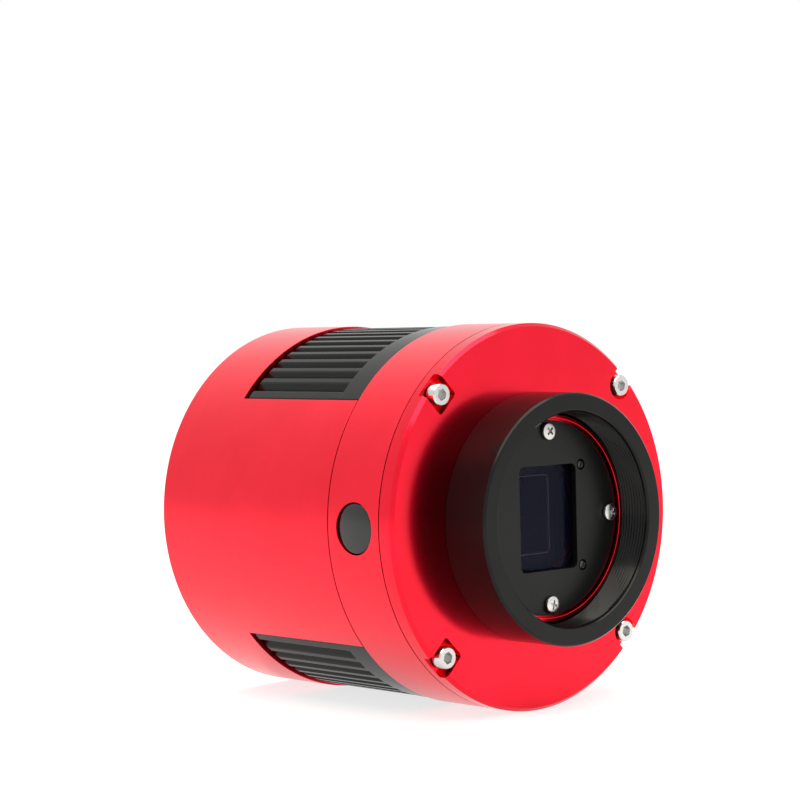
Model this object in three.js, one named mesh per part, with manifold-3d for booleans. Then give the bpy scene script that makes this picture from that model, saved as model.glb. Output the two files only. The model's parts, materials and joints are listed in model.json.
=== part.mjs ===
// Cooled astronomy camera: a red anodised barrel with a black adapter ring, a sensor chamber with a
// thermoelectric cooler, a finned heat sink seen through two vents, and a fan behind it.
// Millimetres. The optical axis is Y: the ring's front face is at y = 0 and the body runs to +Y. Z is up.
import * as THREE from "three";
import { mergeVertices } from "three/addons/utils/BufferGeometryUtils.js";
import Module from "manifold-3d";

const wasm = await Module();
wasm.setup();

// Barrel
const BARREL_R = 39;
const SHELL_WALL = 1.6;
const GAP = 0.3;
const PLATE_FRONT_Y = 11;
const PLATE_BACK_Y = 14.7;
const HOUSING_BACK_Y = 29.65;
const SHELL_BACK_Y = 83.5;
const PLATE_CHAMFER = 0.7;

// Adapter ring and the male nose it screws onto
const RING_R = 25.15;
const RING_BORE_R = 21.3;
const RING_CHAMFER = 0.4;
const NOSE_R = 20.9;
const NOSE_BORE_R = 19.9;
const NOSE_FRONT_Y = 6.6;

// Front screws, each in a notch that is open to the rim
const FRONT_SCREW_OFFSET = 25.55;
const NOTCH_FLOOR_Y = 13.1;
const NOTCH_R = 2.9;
const NOTCH_CORNER_R = 0.7;
const FRONT_HEAD = { radius: 2.2, height: 2.3, shankRadius: 1.2, shankLength: 7, hexFlats: 2.1 };

// Window cover, window and sensor
const COVER = { radius: 19.55, front: 7.4, thickness: 1.2, width: 16, height: 21, cornerRadius: 1.2 };
const COVER_SCREW_CIRCLE_R = 17.4;
const COVER_HOLE_BACK_Y = 12.2;
const COVER_HEAD = { radius: 1.75, height: 0.8, seatLift: 0.2, shankRadius: 0.8, shankLength: 4.3 };
const COVER_HEAD_CROWN = { radius: 1.1, rise: 0.08, edgeRise: 0.45 };
const CROSS_RECESS = { width: 0.4, length: 1.9, depth: 0.45, turn: 30 };
const CLAMP_SCREW = { x: 9.6, z: 10.2, radius: 0.8, slotWidth: 0.3, slotLength: 1.1, slotDepth: 0.35 };
const WINDOW = { radius: 15, front: 9.2, thickness: 2, sideClearance: 0.4, seatInnerR: 13.4 };
const GASKET = { innerRadius: 13.6, thickness: 0.8 };
const SENSOR_PLANE_Y = 17.5;
const DIE = { side: 12.4, thickness: 0.4 };
const LID = { width: 16.4, height: 15.9, thickness: 0.5 };
const PACKAGE = { width: 20, height: 19, front: 16.2, back: 19, wellSide: 14, wellFloor: 18.2 };
const SENSOR_BOARD = { radius: 20, front: 19.5, thickness: 1.6, openingSide: 13 };

// Sensor chamber
const CHAMBER_R = 27.5;
const SEAL_CIRCLE_R = 29.6;
const SEAL_CORD_R = 0.7;
const FRONT_SCREW_HOLE_DEPTH = 6;
const SINK_SCREW_HOLE_DEPTH = 7;

// Desiccant plug, screwed in from the -X side
const PLUG_Y = 22.1;
const PLUG_HOLE = { mouthRadius: 5.15, seatX: -34.3, threadRadius: 4.4, endX: -25.5 };
const PLUG = { faceX: -38.45, headRadius: 4.75, headEndX: -36, endX: -28, cellRadius: 3.2, cellStartX: -33 };
const PLUG_NECK = { radius: 3.5, startX: -37, endX: -33.5 };
const PLUG_THREAD = { radius: 4.1, startX: -34 };
const PLUG_SEAL = { circleRadius: 4.35, cordRadius: 0.5, x: -35.2 };
const TABLET = { radius: 2.9, startX: -32.7, endX: -28.2 };

// Cooler
const COOLER_SIDE = 30;
const COOLER_FRONT_Y = 24.2;
const COOLER_BACK_Y = 27.8;
const COOLER_PELLETS = 3;
const COOLER_FACE = 0.8;
const COLD_POST_SIDE = 11;
const COLD_PLATE = { side: 24, front: 21.5 };
const INSULATION = { side: 36.4, front: 22.4, clearance: 0.4 };
const LEAD_NOTCH = { x: -17, width: 6, height: 3.4, front: 25.2 };

// Heat sink: a turned blank with slots milled through it from top to bottom
const SINK_R = 38.65;
const SINK_COVERED_R = 37.1;
const SINK_OPEN_HALF_ANGLE = 50.5;
const SINK_BACK_Y = 65.3;
const SINK_EDGE = { width: 1.2, middleWidth: 0.4, middleDepth: 0.35 };
const SLOT_FLOOR_Y = 36.3;
const SLOT_WIDTH = 1.6;
const SLOT_PITCH = 2.5;
const SLOTS_EACH_SIDE = 11;
const FIN_WEB = 3;
const BOSS_SIDE = 32;
const SINK_SCREW_CIRCLE_R = 33;
const SINK_SCREW_ANGLES = [78.75, 101.25, -78.75, -101.25];
const SINK_SCREW_SEAT_Y = 33;
const SINK_POCKET_R = 3;
const SINK_HEAD = { radius: 2.6, height: 2.4, shankRadius: 1.4, shankLength: 10.5, hexFlats: 2.5 };
const LEDGE = { innerRadius: 33.5, outerRadius: 36.85, from: 57, to: 123 };
const PILLAR_R = 2.8;
const PILLAR_CIRCLE_R = 33.2;
const PILLAR_ANGLES = [66, 114, -66, -114];
const BACK_SCREW_HOLE_DEPTH = 7;

// Strips that pass the heat sink between two fins
const CABLE_X = 20;
const CABLE_SLOT_WIDTH = 1.3;
const STRIP_END_X = 24.6;
const SENSOR_CABLE = { width: 12, thickness: 0.6, startX: 13 };
const COOLER_LEAD = { width: 2.6, thickness: 0.7, startX: 15.4 };
const STRIP_CLEARANCE = 0.6;

// Vents in the rear shell
const VENT_HALF_ANGLE = 51;
const VENT_BACK_Y = 66;

// Main board and its sockets
const BOARD = { front: 67, thickness: 1.6, radius: 36.9, holeRadius: 21.5, pillarClearance: 0.4 };
const SOCKET_BACK_Y = 83.8;
const SOCKET_DEPTH = 9;
const SOCKET_OPENING_CLEARANCE = 0.7;
const TONGUE_RECESS = 0.8;
const USB_B = { x: 0, z: -28.9, width: 12, height: 10.8, mouthWidth: 8.6, mouthHeight: 8.2 };
const USB_B_TONGUE = { width: 5.6, height: 3.2, rise: -0.6 };
const USB_A = { width: 13.2, height: 5.8, mouthWidth: 12.3, mouthHeight: 4.9 };
const USB_A_TONGUE = { width: 11, height: 1.8, rise: 1 };
const USB_A_PLACES = [{ x: -9, z: 27.6 }, { x: 9, z: 27.6 }];
const POWER_JACK = { x: 29.3, z: 0, radius: 4.2, boreRadius: 3.1, pinRadius: 1.05, baseSide: 9 };
const POWER_PIN_RECESS = 1;

// Back plate
const BACK_PLATE_FRONT_Y = 80.7;
const BACK_HEAD = { radius: 2.2, height: 1.5, shankRadius: 1.2, shankLength: 6, hexFlats: 1.9 };
const BACK_HEAD_POCKET_DEPTH = 1.8;

// Fan
const FAN_SIDE = 40;
const FAN_CORNER_R = 3;
const FAN_FRONT_Y = 70.4;
const FAN_BACK_Y = 80.4;
const FAN_DUCT_R = 18.6;
const FAN_SCREW_OFFSET = 16;
const FAN_SCREW_HOLE_R = 1.7;
const FAN_HEAD = { radius: 2.4, height: 1.1, shankRadius: 1.3, shankLength: 12.5, hexFlats: 1.9, lift: 0.4 };
const MOTOR_SEAT = { thickness: 1.6, strutWidth: 2 };
const HUB = { radius: 9.5, front: 71.2, back: 78.4, wall: 1.4, boreRadius: 8.1, shaftHoleR: 1.1 };
const BLADE_COUNT = 7;
const BLADE = { tipRadius: 18.1, rootRadius: 8.8, thickness: 0.9, chord: 9, pitch: 50 };
const STATOR = { radius: 7.4, boreRadius: 4, front: 73.4, back: 77.6, slotWidth: 1.4, slotDepth: 2.6 };
const BEARING = { radius: 2.4, boreRadius: 1.1, front: 73.2, back: 78.2 };
const BEARING_TUBE = { outer: 3.6, inner: 2.7, front: 73 };
const SHAFT = { radius: 0.75, front: 71.4, back: 78.2 };
const FAN_LEAD = { radius: 0.6, z: 6, startX: -20.6, startY: 74, endX: -24 };

// Fan guard
const GUARD = { half: 20.5, front: 83.8, back: 85.6, cornerRadius: 4.5, discRadius: 4.6 };
const GUARD_RING_RADII = [8.4, 13];
const GUARD_RING_WIDTH = 1.2;
const GUARD_RIB_WIDTH = 1.6;
const GUARD_POCKET_DEPTH = 1;

const ROUND = 48;
const MEDIUM_ROUND = 24;
const SMALL_ROUND = 12;
const HOLE_ROUND = 8;
const CORD_SIDES = 5;
const THREAD_CLEARANCE = 0.3;
const SOCKET_SHARE = 0.55;
const PLATE_OVERLAP = 0.5;
const PAST = 1;

const red = new THREE.MeshStandardMaterial({ color: 0xe8202c, roughness: 0.35, metalness: 0.8 });
const black = new THREE.MeshStandardMaterial({ color: 0x1c1c1e, roughness: 0.5, metalness: 0.6 });
const steel = new THREE.MeshStandardMaterial({ color: 0xd8d8d6, roughness: 0.25, metalness: 1 });
const rubber = new THREE.MeshStandardMaterial({ color: 0x161616, roughness: 0.85, metalness: 0 });
const plastic = new THREE.MeshStandardMaterial({ color: 0x202124, roughness: 0.55, metalness: 0 });
const glass = new THREE.MeshStandardMaterial({
  color: 0x2a2f55,
  roughness: 0.05,
  transparent: true,
  opacity: 0.4,
});
const silicon = new THREE.MeshStandardMaterial({ color: 0x241f33, roughness: 0.15, metalness: 0.3 });
const ceramic = new THREE.MeshStandardMaterial({ color: 0x55504c, roughness: 0.6, metalness: 0 });
const copper = new THREE.MeshStandardMaterial({ color: 0xb87045, roughness: 0.35, metalness: 1 });
const foam = new THREE.MeshStandardMaterial({ color: 0x2c2c2e, roughness: 0.95, metalness: 0 });
const board = new THREE.MeshStandardMaterial({ color: 0x14532d, roughness: 0.5, metalness: 0.1 });
const white = new THREE.MeshStandardMaterial({ color: 0xe9e9e4, roughness: 0.8, metalness: 0 });

const camera = new THREE.Group();

// ---------------------------------------------------------------------------------------------- solids

// A closed three.js geometry as a solid, with its faces turned outwards.
function solid(geometry) {
  const bare = geometry.clone();
  bare.deleteAttribute("normal");
  bare.deleteAttribute("uv");
  const merged = mergeVertices(bare, 1e-4);
  const position = merged.attributes.position;
  const corners = Array.from(merged.index.array);
  const triangles = [];
  let volume = 0;
  const [a, b, c] = [new THREE.Vector3(), new THREE.Vector3(), new THREE.Vector3()];
  for (let i = 0; i < corners.length; i += 3) {
    const [p, q, r] = corners.slice(i, i + 3);
    if (p === q || q === r || r === p) continue;
    a.fromBufferAttribute(position, p);
    b.fromBufferAttribute(position, q);
    c.fromBufferAttribute(position, r);
    volume += a.dot(b.cross(c));
    triangles.push(p, q, r);
  }
  if (volume < 0) triangles.reverse();
  return new wasm.Manifold(
    new wasm.Mesh({
      numProp: 3,
      vertProperties: new Float32Array(position.array),
      triVerts: new Uint32Array(triangles),
    }),
  );
}

function join(first, ...others) {
  return others.reduce((sum, other) => sum.add(other), first);
}

function cut(first, ...others) {
  return others.reduce((rest, other) => rest.subtract(other), first);
}

// Adds one named sub-part to the camera.
function add(name, body, material) {
  const mesh = body.getMesh();
  const geometry = new THREE.BufferGeometry();
  geometry.setAttribute("position", new THREE.BufferAttribute(mesh.vertProperties, 3));
  geometry.setIndex(new THREE.BufferAttribute(mesh.triVerts, 1));
  geometry.computeVertexNormals();
  const part = new THREE.Mesh(geometry, material);
  part.name = name;
  camera.add(part);
}

// A ring or disc turned about the optical axis from a closed [radius, y] outline.
function turned(outline, segments = ROUND) {
  const points = outline.map(([radius, y]) => new THREE.Vector2(radius, y));
  points.push(points[0].clone());
  return solid(new THREE.LatheGeometry(points, segments));
}

function tube(outer, inner, front, back, segments = ROUND) {
  return turned([[inner, front], [outer, front], [outer, back], [inner, back]], segments);
}

// A round bar along Y, centred on (x, z).
function rod(radius, front, back, x = 0, z = 0, segments = SMALL_ROUND) {
  const bar = new THREE.CylinderGeometry(radius, radius, back - front, segments);
  bar.translate(x, (front + back) / 2, z);
  return solid(bar);
}

// A round bar along X, centred on y.
function crossRod(radius, left, right, y, segments = SMALL_ROUND) {
  const bar = new THREE.CylinderGeometry(radius, radius, right - left, segments);
  bar.rotateZ(Math.PI / 2);
  bar.translate((left + right) / 2, y, 0);
  return solid(bar);
}

function block(width, height, front, back, x = 0, z = 0) {
  const box = new THREE.BoxGeometry(width, back - front, height);
  box.translate(x, (front + back) / 2, z);
  return solid(box);
}

// An outline in the X-Z plane, extruded from front to back along Y.
function plate(shape, front, back, curveSegments = 12) {
  const slab = new THREE.ExtrudeGeometry(shape, { depth: back - front, bevelEnabled: false, curveSegments });
  slab.rotateX(Math.PI / 2);
  slab.translate(0, back, 0);
  return solid(slab);
}

function roundedRectangle(width, height, radius, x = 0, z = 0) {
  const [left, right] = [x - width / 2, x + width / 2];
  const [low, high] = [z - height / 2, z + height / 2];
  const shape = new THREE.Shape();
  shape.moveTo(left + radius, low);
  shape.lineTo(right - radius, low);
  shape.absarc(right - radius, low + radius, radius, -Math.PI / 2, 0);
  shape.lineTo(right, high - radius);
  shape.absarc(right - radius, high - radius, radius, 0, Math.PI / 2);
  shape.lineTo(left + radius, high);
  shape.absarc(left + radius, high - radius, radius, Math.PI / 2, Math.PI);
  shape.lineTo(left, low + radius);
  shape.absarc(left + radius, low + radius, radius, Math.PI, 1.5 * Math.PI);
  return shape;
}

// A sector of a ring; angles are in degrees from the top (+Z), clockwise as seen from the front.
function sector(outer, inner, from, to, front, back, segments = SMALL_ROUND) {
  const start = THREE.MathUtils.degToRad(90 - to);
  const end = THREE.MathUtils.degToRad(90 - from);
  const shape = new THREE.Shape();
  shape.absarc(0, 0, outer, start, end, false);
  shape.absarc(0, 0, inner, end, start, true);
  return plate(shape, front, back, segments);
}

// The point at a radius and an angle from the top.
function onCircle(radius, degrees) {
  const angle = THREE.MathUtils.degToRad(degrees);
  return { x: radius * Math.sin(angle), z: radius * Math.cos(angle) };
}

function torus(circleRadius, cordRadius, segments = MEDIUM_ROUND) {
  return new THREE.TorusGeometry(circleRadius, cordRadius, CORD_SIDES, segments);
}

// The four points at +-offset in X and Z.
function fourPlaces(offset) {
  return [[-1, 1], [1, 1], [1, -1], [-1, -1]].map(([sx, sz]) => ({ x: sx * offset, z: sz * offset }));
}

// A screw along Y with a hexagon socket. side is +1 when its head is at the low-Y end, -1 at the high-Y end.
function screw(head, topY, side, x, z) {
  const span = (near, far) => [topY + side * near, topY + side * far].sort((a, b) => a - b);
  const body = join(
    rod(head.radius, ...span(0, head.height), x, z),
    rod(head.shankRadius, ...span(head.height / 2, head.height + head.shankLength), x, z, HOLE_ROUND),
  );
  const socket = rod(head.hexFlats / Math.sqrt(3), ...span(-PAST, head.height * SOCKET_SHARE), x, z, 6);
  return cut(body, socket);
}

// ------------------------------------------------------------------------------------------ front end

const frontScrewPlaces = fourPlaces(FRONT_SCREW_OFFSET);
const coverScrewPlaces = [0, 90, 180, 270].map((degrees) => onCircle(COVER_SCREW_CIRCLE_R, degrees));
const clampScrewPlaces = [1, -1].map((side) => ({ x: CLAMP_SCREW.x, z: side * CLAMP_SCREW.z }));
const coverBackY = COVER.front + COVER.thickness;
const windowBackY = WINDOW.front + WINDOW.thickness;

function adapterRing() {
  const back = PLATE_FRONT_Y - GAP;
  return turned([
    [RING_BORE_R + RING_CHAMFER, 0],
    [RING_R - RING_CHAMFER, 0],
    [RING_R, RING_CHAMFER],
    [RING_R, back],
    [RING_BORE_R, back],
    [RING_BORE_R, RING_CHAMFER],
  ]);
}

// A pocket about a front screw, open to the rim. The pair on the -X side has square inner corners.
function notch(place) {
  const reach = 2 * NOTCH_R;
  const half = NOTCH_R;
  const corner = place.x < 0 ? NOTCH_CORNER_R : NOTCH_R;
  const shape = new THREE.Shape();
  shape.moveTo(reach, -half);
  shape.lineTo(reach, half);
  shape.lineTo(-half + corner, half);
  shape.absarc(-half + corner, half - corner, corner, Math.PI / 2, Math.PI);
  shape.absarc(-half + corner, -half + corner, corner, Math.PI, 1.5 * Math.PI);
  const slab = new THREE.ExtrudeGeometry(shape, {
    depth: NOTCH_FLOOR_Y - PLATE_FRONT_Y + PAST,
    bevelEnabled: false,
    curveSegments: 8,
  });
  slab.rotateX(Math.PI / 2);
  slab.rotateY(-Math.atan2(place.z, place.x));
  slab.translate(place.x, NOTCH_FLOOR_Y, place.z);
  return solid(slab);
}

// The plate and its hollow nose, with the seats of the window and of the cover.
function frontPlate() {
  const coverSeat = coverBackY + GAP;
  const pocketFloor = windowBackY + GASKET.thickness + 2 * GAP;
  const pocketR = WINDOW.radius + WINDOW.sideClearance;
  const body = turned([
    [NOSE_BORE_R, NOSE_FRONT_Y],
    [NOSE_R, NOSE_FRONT_Y],
    [NOSE_R, PLATE_FRONT_Y],
    [BARREL_R - PLATE_CHAMFER, PLATE_FRONT_Y],
    [BARREL_R, PLATE_FRONT_Y + PLATE_CHAMFER],
    [BARREL_R, PLATE_BACK_Y],
    [WINDOW.seatInnerR, PLATE_BACK_Y],
    [WINDOW.seatInnerR, pocketFloor],
    [pocketR, pocketFloor],
    [pocketR, coverSeat],
    [NOSE_BORE_R, coverSeat],
  ]);
  const holeR = FRONT_HEAD.shankRadius + THREAD_CLEARANCE;
  const holes = frontScrewPlaces.map(({ x, z }) => rod(holeR, PLATE_FRONT_Y, PLATE_BACK_Y + PAST, x, z));
  const coverHoleR = COVER_HEAD.shankRadius + THREAD_CLEARANCE;
  const coverHoles = coverScrewPlaces.map(({ x, z }) =>
    rod(coverHoleR, coverSeat - PAST, COVER_HOLE_BACK_Y, x, z, HOLE_ROUND),
  );
  return cut(body, ...frontScrewPlaces.map(notch), ...holes, ...coverHoles);
}

function windowCover() {
  const [front, back] = [COVER.front - PAST, coverBackY + PAST];
  const disc = rod(COVER.radius, COVER.front, coverBackY, 0, 0, ROUND);
  const opening = plate(roundedRectangle(COVER.width, COVER.height, COVER.cornerRadius), front, back, 6);
  const screwHoles = coverScrewPlaces.map(({ x, z }) =>
    rod(COVER_HEAD.shankRadius + THREAD_CLEARANCE, front, back, x, z, HOLE_ROUND),
  );
  const clampHoles = clampScrewPlaces.map(({ x, z }) =>
    rod(CLAMP_SCREW.radius + THREAD_CLEARANCE, front, back, x, z, HOLE_ROUND),
  );
  return cut(disc, opening, ...screwHoles, ...clampHoles);
}

// A cross-recess screw with a low domed head.
function coverScrew({ x, z }) {
  const seat = COVER.front - COVER_HEAD.seatLift;
  const top = seat - COVER_HEAD.height;
  const tip = seat + COVER_HEAD.shankLength;
  const body = turned([
    [0, top],
    [COVER_HEAD_CROWN.radius, top + COVER_HEAD_CROWN.rise],
    [COVER_HEAD.radius, top + COVER_HEAD_CROWN.edgeRise],
    [COVER_HEAD.radius, seat],
    [COVER_HEAD.shankRadius, seat],
    [COVER_HEAD.shankRadius, tip],
    [0, tip],
  ], SMALL_ROUND).translate([x, 0, z]);
  const { width, length, depth, turn } = CROSS_RECESS;
  const recess = join(
    block(length, width, top - PAST, top + depth),
    block(width, length, top - PAST, top + depth),
  );
  return cut(body, recess.rotate([0, turn, 0]).translate([x, 0, z]));
}

function clampScrew({ x, z }) {
  const { radius, slotWidth, slotLength, slotDepth } = CLAMP_SCREW;
  const body = rod(radius, COVER.front, coverBackY, x, z, HOLE_ROUND);
  return cut(body, block(slotWidth, slotLength, COVER.front - PAST, COVER.front + slotDepth, x, z));
}

function sealRing(y) {
  const ring = torus(SEAL_CIRCLE_R, SEAL_CORD_R);
  ring.rotateX(Math.PI / 2);
  ring.translate(0, y, 0);
  return solid(ring);
}

add("adapter_ring", adapterRing(), black);
add("front_plate", frontPlate(), red);
frontScrewPlaces.forEach(({ x, z }, i) => {
  const top = NOTCH_FLOOR_Y - GAP - FRONT_HEAD.height;
  add(`front_screw_${i + 1}`, screw(FRONT_HEAD, top, 1, x, z), steel);
});
add("window_cover", windowCover(), black);
coverScrewPlaces.forEach((place, i) => add(`cover_screw_${i + 1}`, coverScrew(place), steel));
clampScrewPlaces.forEach((place, i) => add(`clamp_screw_${i + 1}`, clampScrew(place), steel));
add("window_glass", rod(WINDOW.radius, WINDOW.front, windowBackY, 0, 0, ROUND), glass);
const gasketFront = windowBackY + GAP;
const gasketBack = gasketFront + GASKET.thickness;
add("window_gasket", tube(WINDOW.radius, GASKET.innerRadius, gasketFront, gasketBack, MEDIUM_ROUND), rubber);

// ---------------------------------------------------------------------------------------------- sensor

const sensorBoardBackY = SENSOR_BOARD.front + SENSOR_BOARD.thickness;
const lidBackY = PACKAGE.front - GAP;

function sensorPackage() {
  const body = block(PACKAGE.width, PACKAGE.height, PACKAGE.front, PACKAGE.back);
  return cut(body, block(PACKAGE.wellSide, PACKAGE.wellSide, PACKAGE.front - PAST, PACKAGE.wellFloor));
}

function sensorBoard() {
  const { radius, front, openingSide } = SENSOR_BOARD;
  const disc = rod(radius, front, sensorBoardBackY, 0, 0, ROUND);
  return cut(disc, block(openingSide, openingSide, front - PAST, sensorBoardBackY + PAST));
}

add("sensor_lid", block(LID.width, LID.height, lidBackY - LID.thickness, lidBackY), glass);
add("sensor_die", block(DIE.side, DIE.side, SENSOR_PLANE_Y, SENSOR_PLANE_Y + DIE.thickness), silicon);
add("sensor_package", sensorPackage(), ceramic);
add("sensor_board", sensorBoard(), board);

// --------------------------------------------------------------------------------------- sensor chamber

const housingFrontY = PLATE_BACK_Y + GAP;
const frontSealY = housingFrontY + SEAL_CORD_R;
const baseSealY = HOUSING_BACK_Y - SEAL_CORD_R;
const sinkScrewPlaces = SINK_SCREW_ANGLES.map((degrees) => onCircle(SINK_SCREW_CIRCLE_R, degrees));

// The ring round the sensor, with a seal groove in each end and the plug's hole in its side.
function midHousing() {
  const body = tube(BARREL_R, CHAMBER_R, housingFrontY, HOUSING_BACK_Y);
  const grooveDepth = 2 * SEAL_CORD_R + GAP;
  const [inner, outer] = [SEAL_CIRCLE_R - SEAL_CORD_R - GAP, SEAL_CIRCLE_R + SEAL_CORD_R + GAP];
  const grooves = [
    tube(outer, inner, housingFrontY - PAST, housingFrontY + grooveDepth, MEDIUM_ROUND),
    tube(outer, inner, HOUSING_BACK_Y - grooveDepth, HOUSING_BACK_Y + PAST, MEDIUM_ROUND),
  ];
  const frontHoleR = FRONT_HEAD.shankRadius + THREAD_CLEARANCE;
  const frontHoleEnd = housingFrontY + FRONT_SCREW_HOLE_DEPTH;
  const frontHoles = frontScrewPlaces.map(({ x, z }) =>
    rod(frontHoleR, housingFrontY - PAST, frontHoleEnd, x, z, HOLE_ROUND),
  );
  const backHoleR = SINK_HEAD.shankRadius + THREAD_CLEARANCE;
  const backHoleStart = HOUSING_BACK_Y - SINK_SCREW_HOLE_DEPTH;
  const backHoles = sinkScrewPlaces.map(({ x, z }) =>
    rod(backHoleR, backHoleStart, HOUSING_BACK_Y + PAST, x, z, HOLE_ROUND),
  );
  const { mouthRadius, seatX, threadRadius, endX } = PLUG_HOLE;
  const plugMouth = crossRod(mouthRadius, -BARREL_R - PAST, seatX, PLUG_Y, MEDIUM_ROUND);
  const plugBore = crossRod(threadRadius, seatX - PAST, endX, PLUG_Y);
  return cut(body, ...grooves, ...frontHoles, ...backHoles, plugMouth, plugBore);
}

// A cap that holds the drying tablet, with a groove for its seal between the head and the thread.
function desiccantPlug() {
  const body = join(
    crossRod(PLUG.headRadius, PLUG.faceX, PLUG.headEndX, PLUG_Y, MEDIUM_ROUND),
    crossRod(PLUG_NECK.radius, PLUG_NECK.startX, PLUG_NECK.endX, PLUG_Y),
    crossRod(PLUG_THREAD.radius, PLUG_THREAD.startX, PLUG.endX, PLUG_Y),
  );
  return cut(body, crossRod(PLUG.cellRadius, PLUG.cellStartX, PLUG.endX + PAST, PLUG_Y));
}

function plugSeal() {
  const ring = torus(PLUG_SEAL.circleRadius, PLUG_SEAL.cordRadius);
  ring.rotateY(Math.PI / 2);
  ring.translate(PLUG_SEAL.x, PLUG_Y, 0);
  return solid(ring);
}

// Cold plate with a post that reaches through the sensor board to the back of the sensor.
function coldFinger() {
  return join(
    block(COLD_POST_SIDE, COLD_POST_SIDE, PACKAGE.back + GAP, COLD_PLATE.front + PLATE_OVERLAP),
    block(COLD_PLATE.side, COLD_PLATE.side, COLD_PLATE.front, COOLER_FRONT_Y - GAP),
  );
}

// Two ceramic faces with a grid of pellets between them.
function coolerModule() {
  const pitch = COOLER_SIDE / COOLER_PELLETS;
  const [pelletFront, pelletBack] = [COOLER_FRONT_Y + COOLER_FACE / 2, COOLER_BACK_Y - COOLER_FACE / 2];
  const bodies = [
    block(COOLER_SIDE, COOLER_SIDE, COOLER_FRONT_Y, COOLER_FRONT_Y + COOLER_FACE),
    block(COOLER_SIDE, COOLER_SIDE, COOLER_BACK_Y - COOLER_FACE, COOLER_BACK_Y),
  ];
  for (let i = 0; i < COOLER_PELLETS; i += 1) {
    for (let j = 0; j < COOLER_PELLETS; j += 1) {
      const x = (i - (COOLER_PELLETS - 1) / 2) * pitch;
      const z = (j - (COOLER_PELLETS - 1) / 2) * pitch;
      bodies.push(block(pitch / 2, pitch / 2, pelletFront, pelletBack, x, z));
    }
  }
  return join(...bodies);
}

// Foam frame round the cooler, with a notch for the cooler's lead.
function insulation() {
  const { side, front, clearance } = INSULATION;
  const opening = COOLER_SIDE + 2 * clearance;
  return cut(
    block(side, side, front, COOLER_BACK_Y),
    block(opening, opening, front - PAST, COOLER_BACK_Y + PAST),
    block(LEAD_NOTCH.width, LEAD_NOTCH.height, LEAD_NOTCH.front, COOLER_BACK_Y + PAST, LEAD_NOTCH.x),
  );
}

add("front_seal", sealRing(frontSealY), rubber);
add("mid_housing", midHousing(), red);
add("base_seal", sealRing(baseSealY), rubber);
add("desiccant_plug", desiccantPlug(), plastic);
add("plug_seal", plugSeal(), rubber);
add("desiccant_tablet", crossRod(TABLET.radius, TABLET.startX, TABLET.endX, PLUG_Y), white);
add("cold_finger", coldFinger(), copper);
add("cooler_module", coolerModule(), white);
add("insulation", insulation(), foam);

// ------------------------------------------------------------------------------------------- heat sink

const sinkFrontY = HOUSING_BACK_Y + GAP;
const pillarPlaces = PILLAR_ANGLES.map((degrees) => onCircle(PILLAR_CIRCLE_R, degrees));

// The blank's full radius shows in the vents. Its two covered sides are turned down to fit the shell.
function sinkBody() {
  const { width, middleWidth, middleDepth } = SINK_EDGE;
  const blank = turned([
    [0, sinkFrontY],
    [SINK_R, sinkFrontY],
    [SINK_R, SINK_BACK_Y - width],
    [SINK_R - middleDepth, SINK_BACK_Y - middleWidth],
    [SINK_R - width, SINK_BACK_Y],
    [0, SINK_BACK_Y],
  ]);
  const [start, end] = [SINK_OPEN_HALF_ANGLE, 180 - SINK_OPEN_HALF_ANGLE];
  const reliefs = [0, 180].map((turn) =>
    sector(BARREL_R + PAST, SINK_COVERED_R, turn + start, turn + end, sinkFrontY - PAST, SINK_BACK_Y + PAST),
  );
  return cut(blank, ...reliefs);
}

// Parallel slots in from the top vent and from the bottom vent. The metal between them is the fins, tied
// by a web along the middle. The two slots with a strip in them have no web.
function slots() {
  const reach = BARREL_R + PAST;
  const height = reach - FIN_WEB / 2;
  const middle = (reach + FIN_WEB / 2) / 2;
  const [floor, back] = [SLOT_FLOOR_Y, SINK_BACK_Y + PAST];
  const bodies = [];
  for (let i = -SLOTS_EACH_SIDE; i <= SLOTS_EACH_SIDE; i += 1) {
    const x = i * SLOT_PITCH;
    if (Math.abs(x) === CABLE_X) {
      bodies.push(block(SLOT_WIDTH, 2 * reach, floor, back, x));
    } else {
      bodies.push(block(SLOT_WIDTH, height, floor, back, x, middle));
      bodies.push(block(SLOT_WIDTH, height, floor, back, x, -middle));
    }
  }
  return bodies;
}

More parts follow.
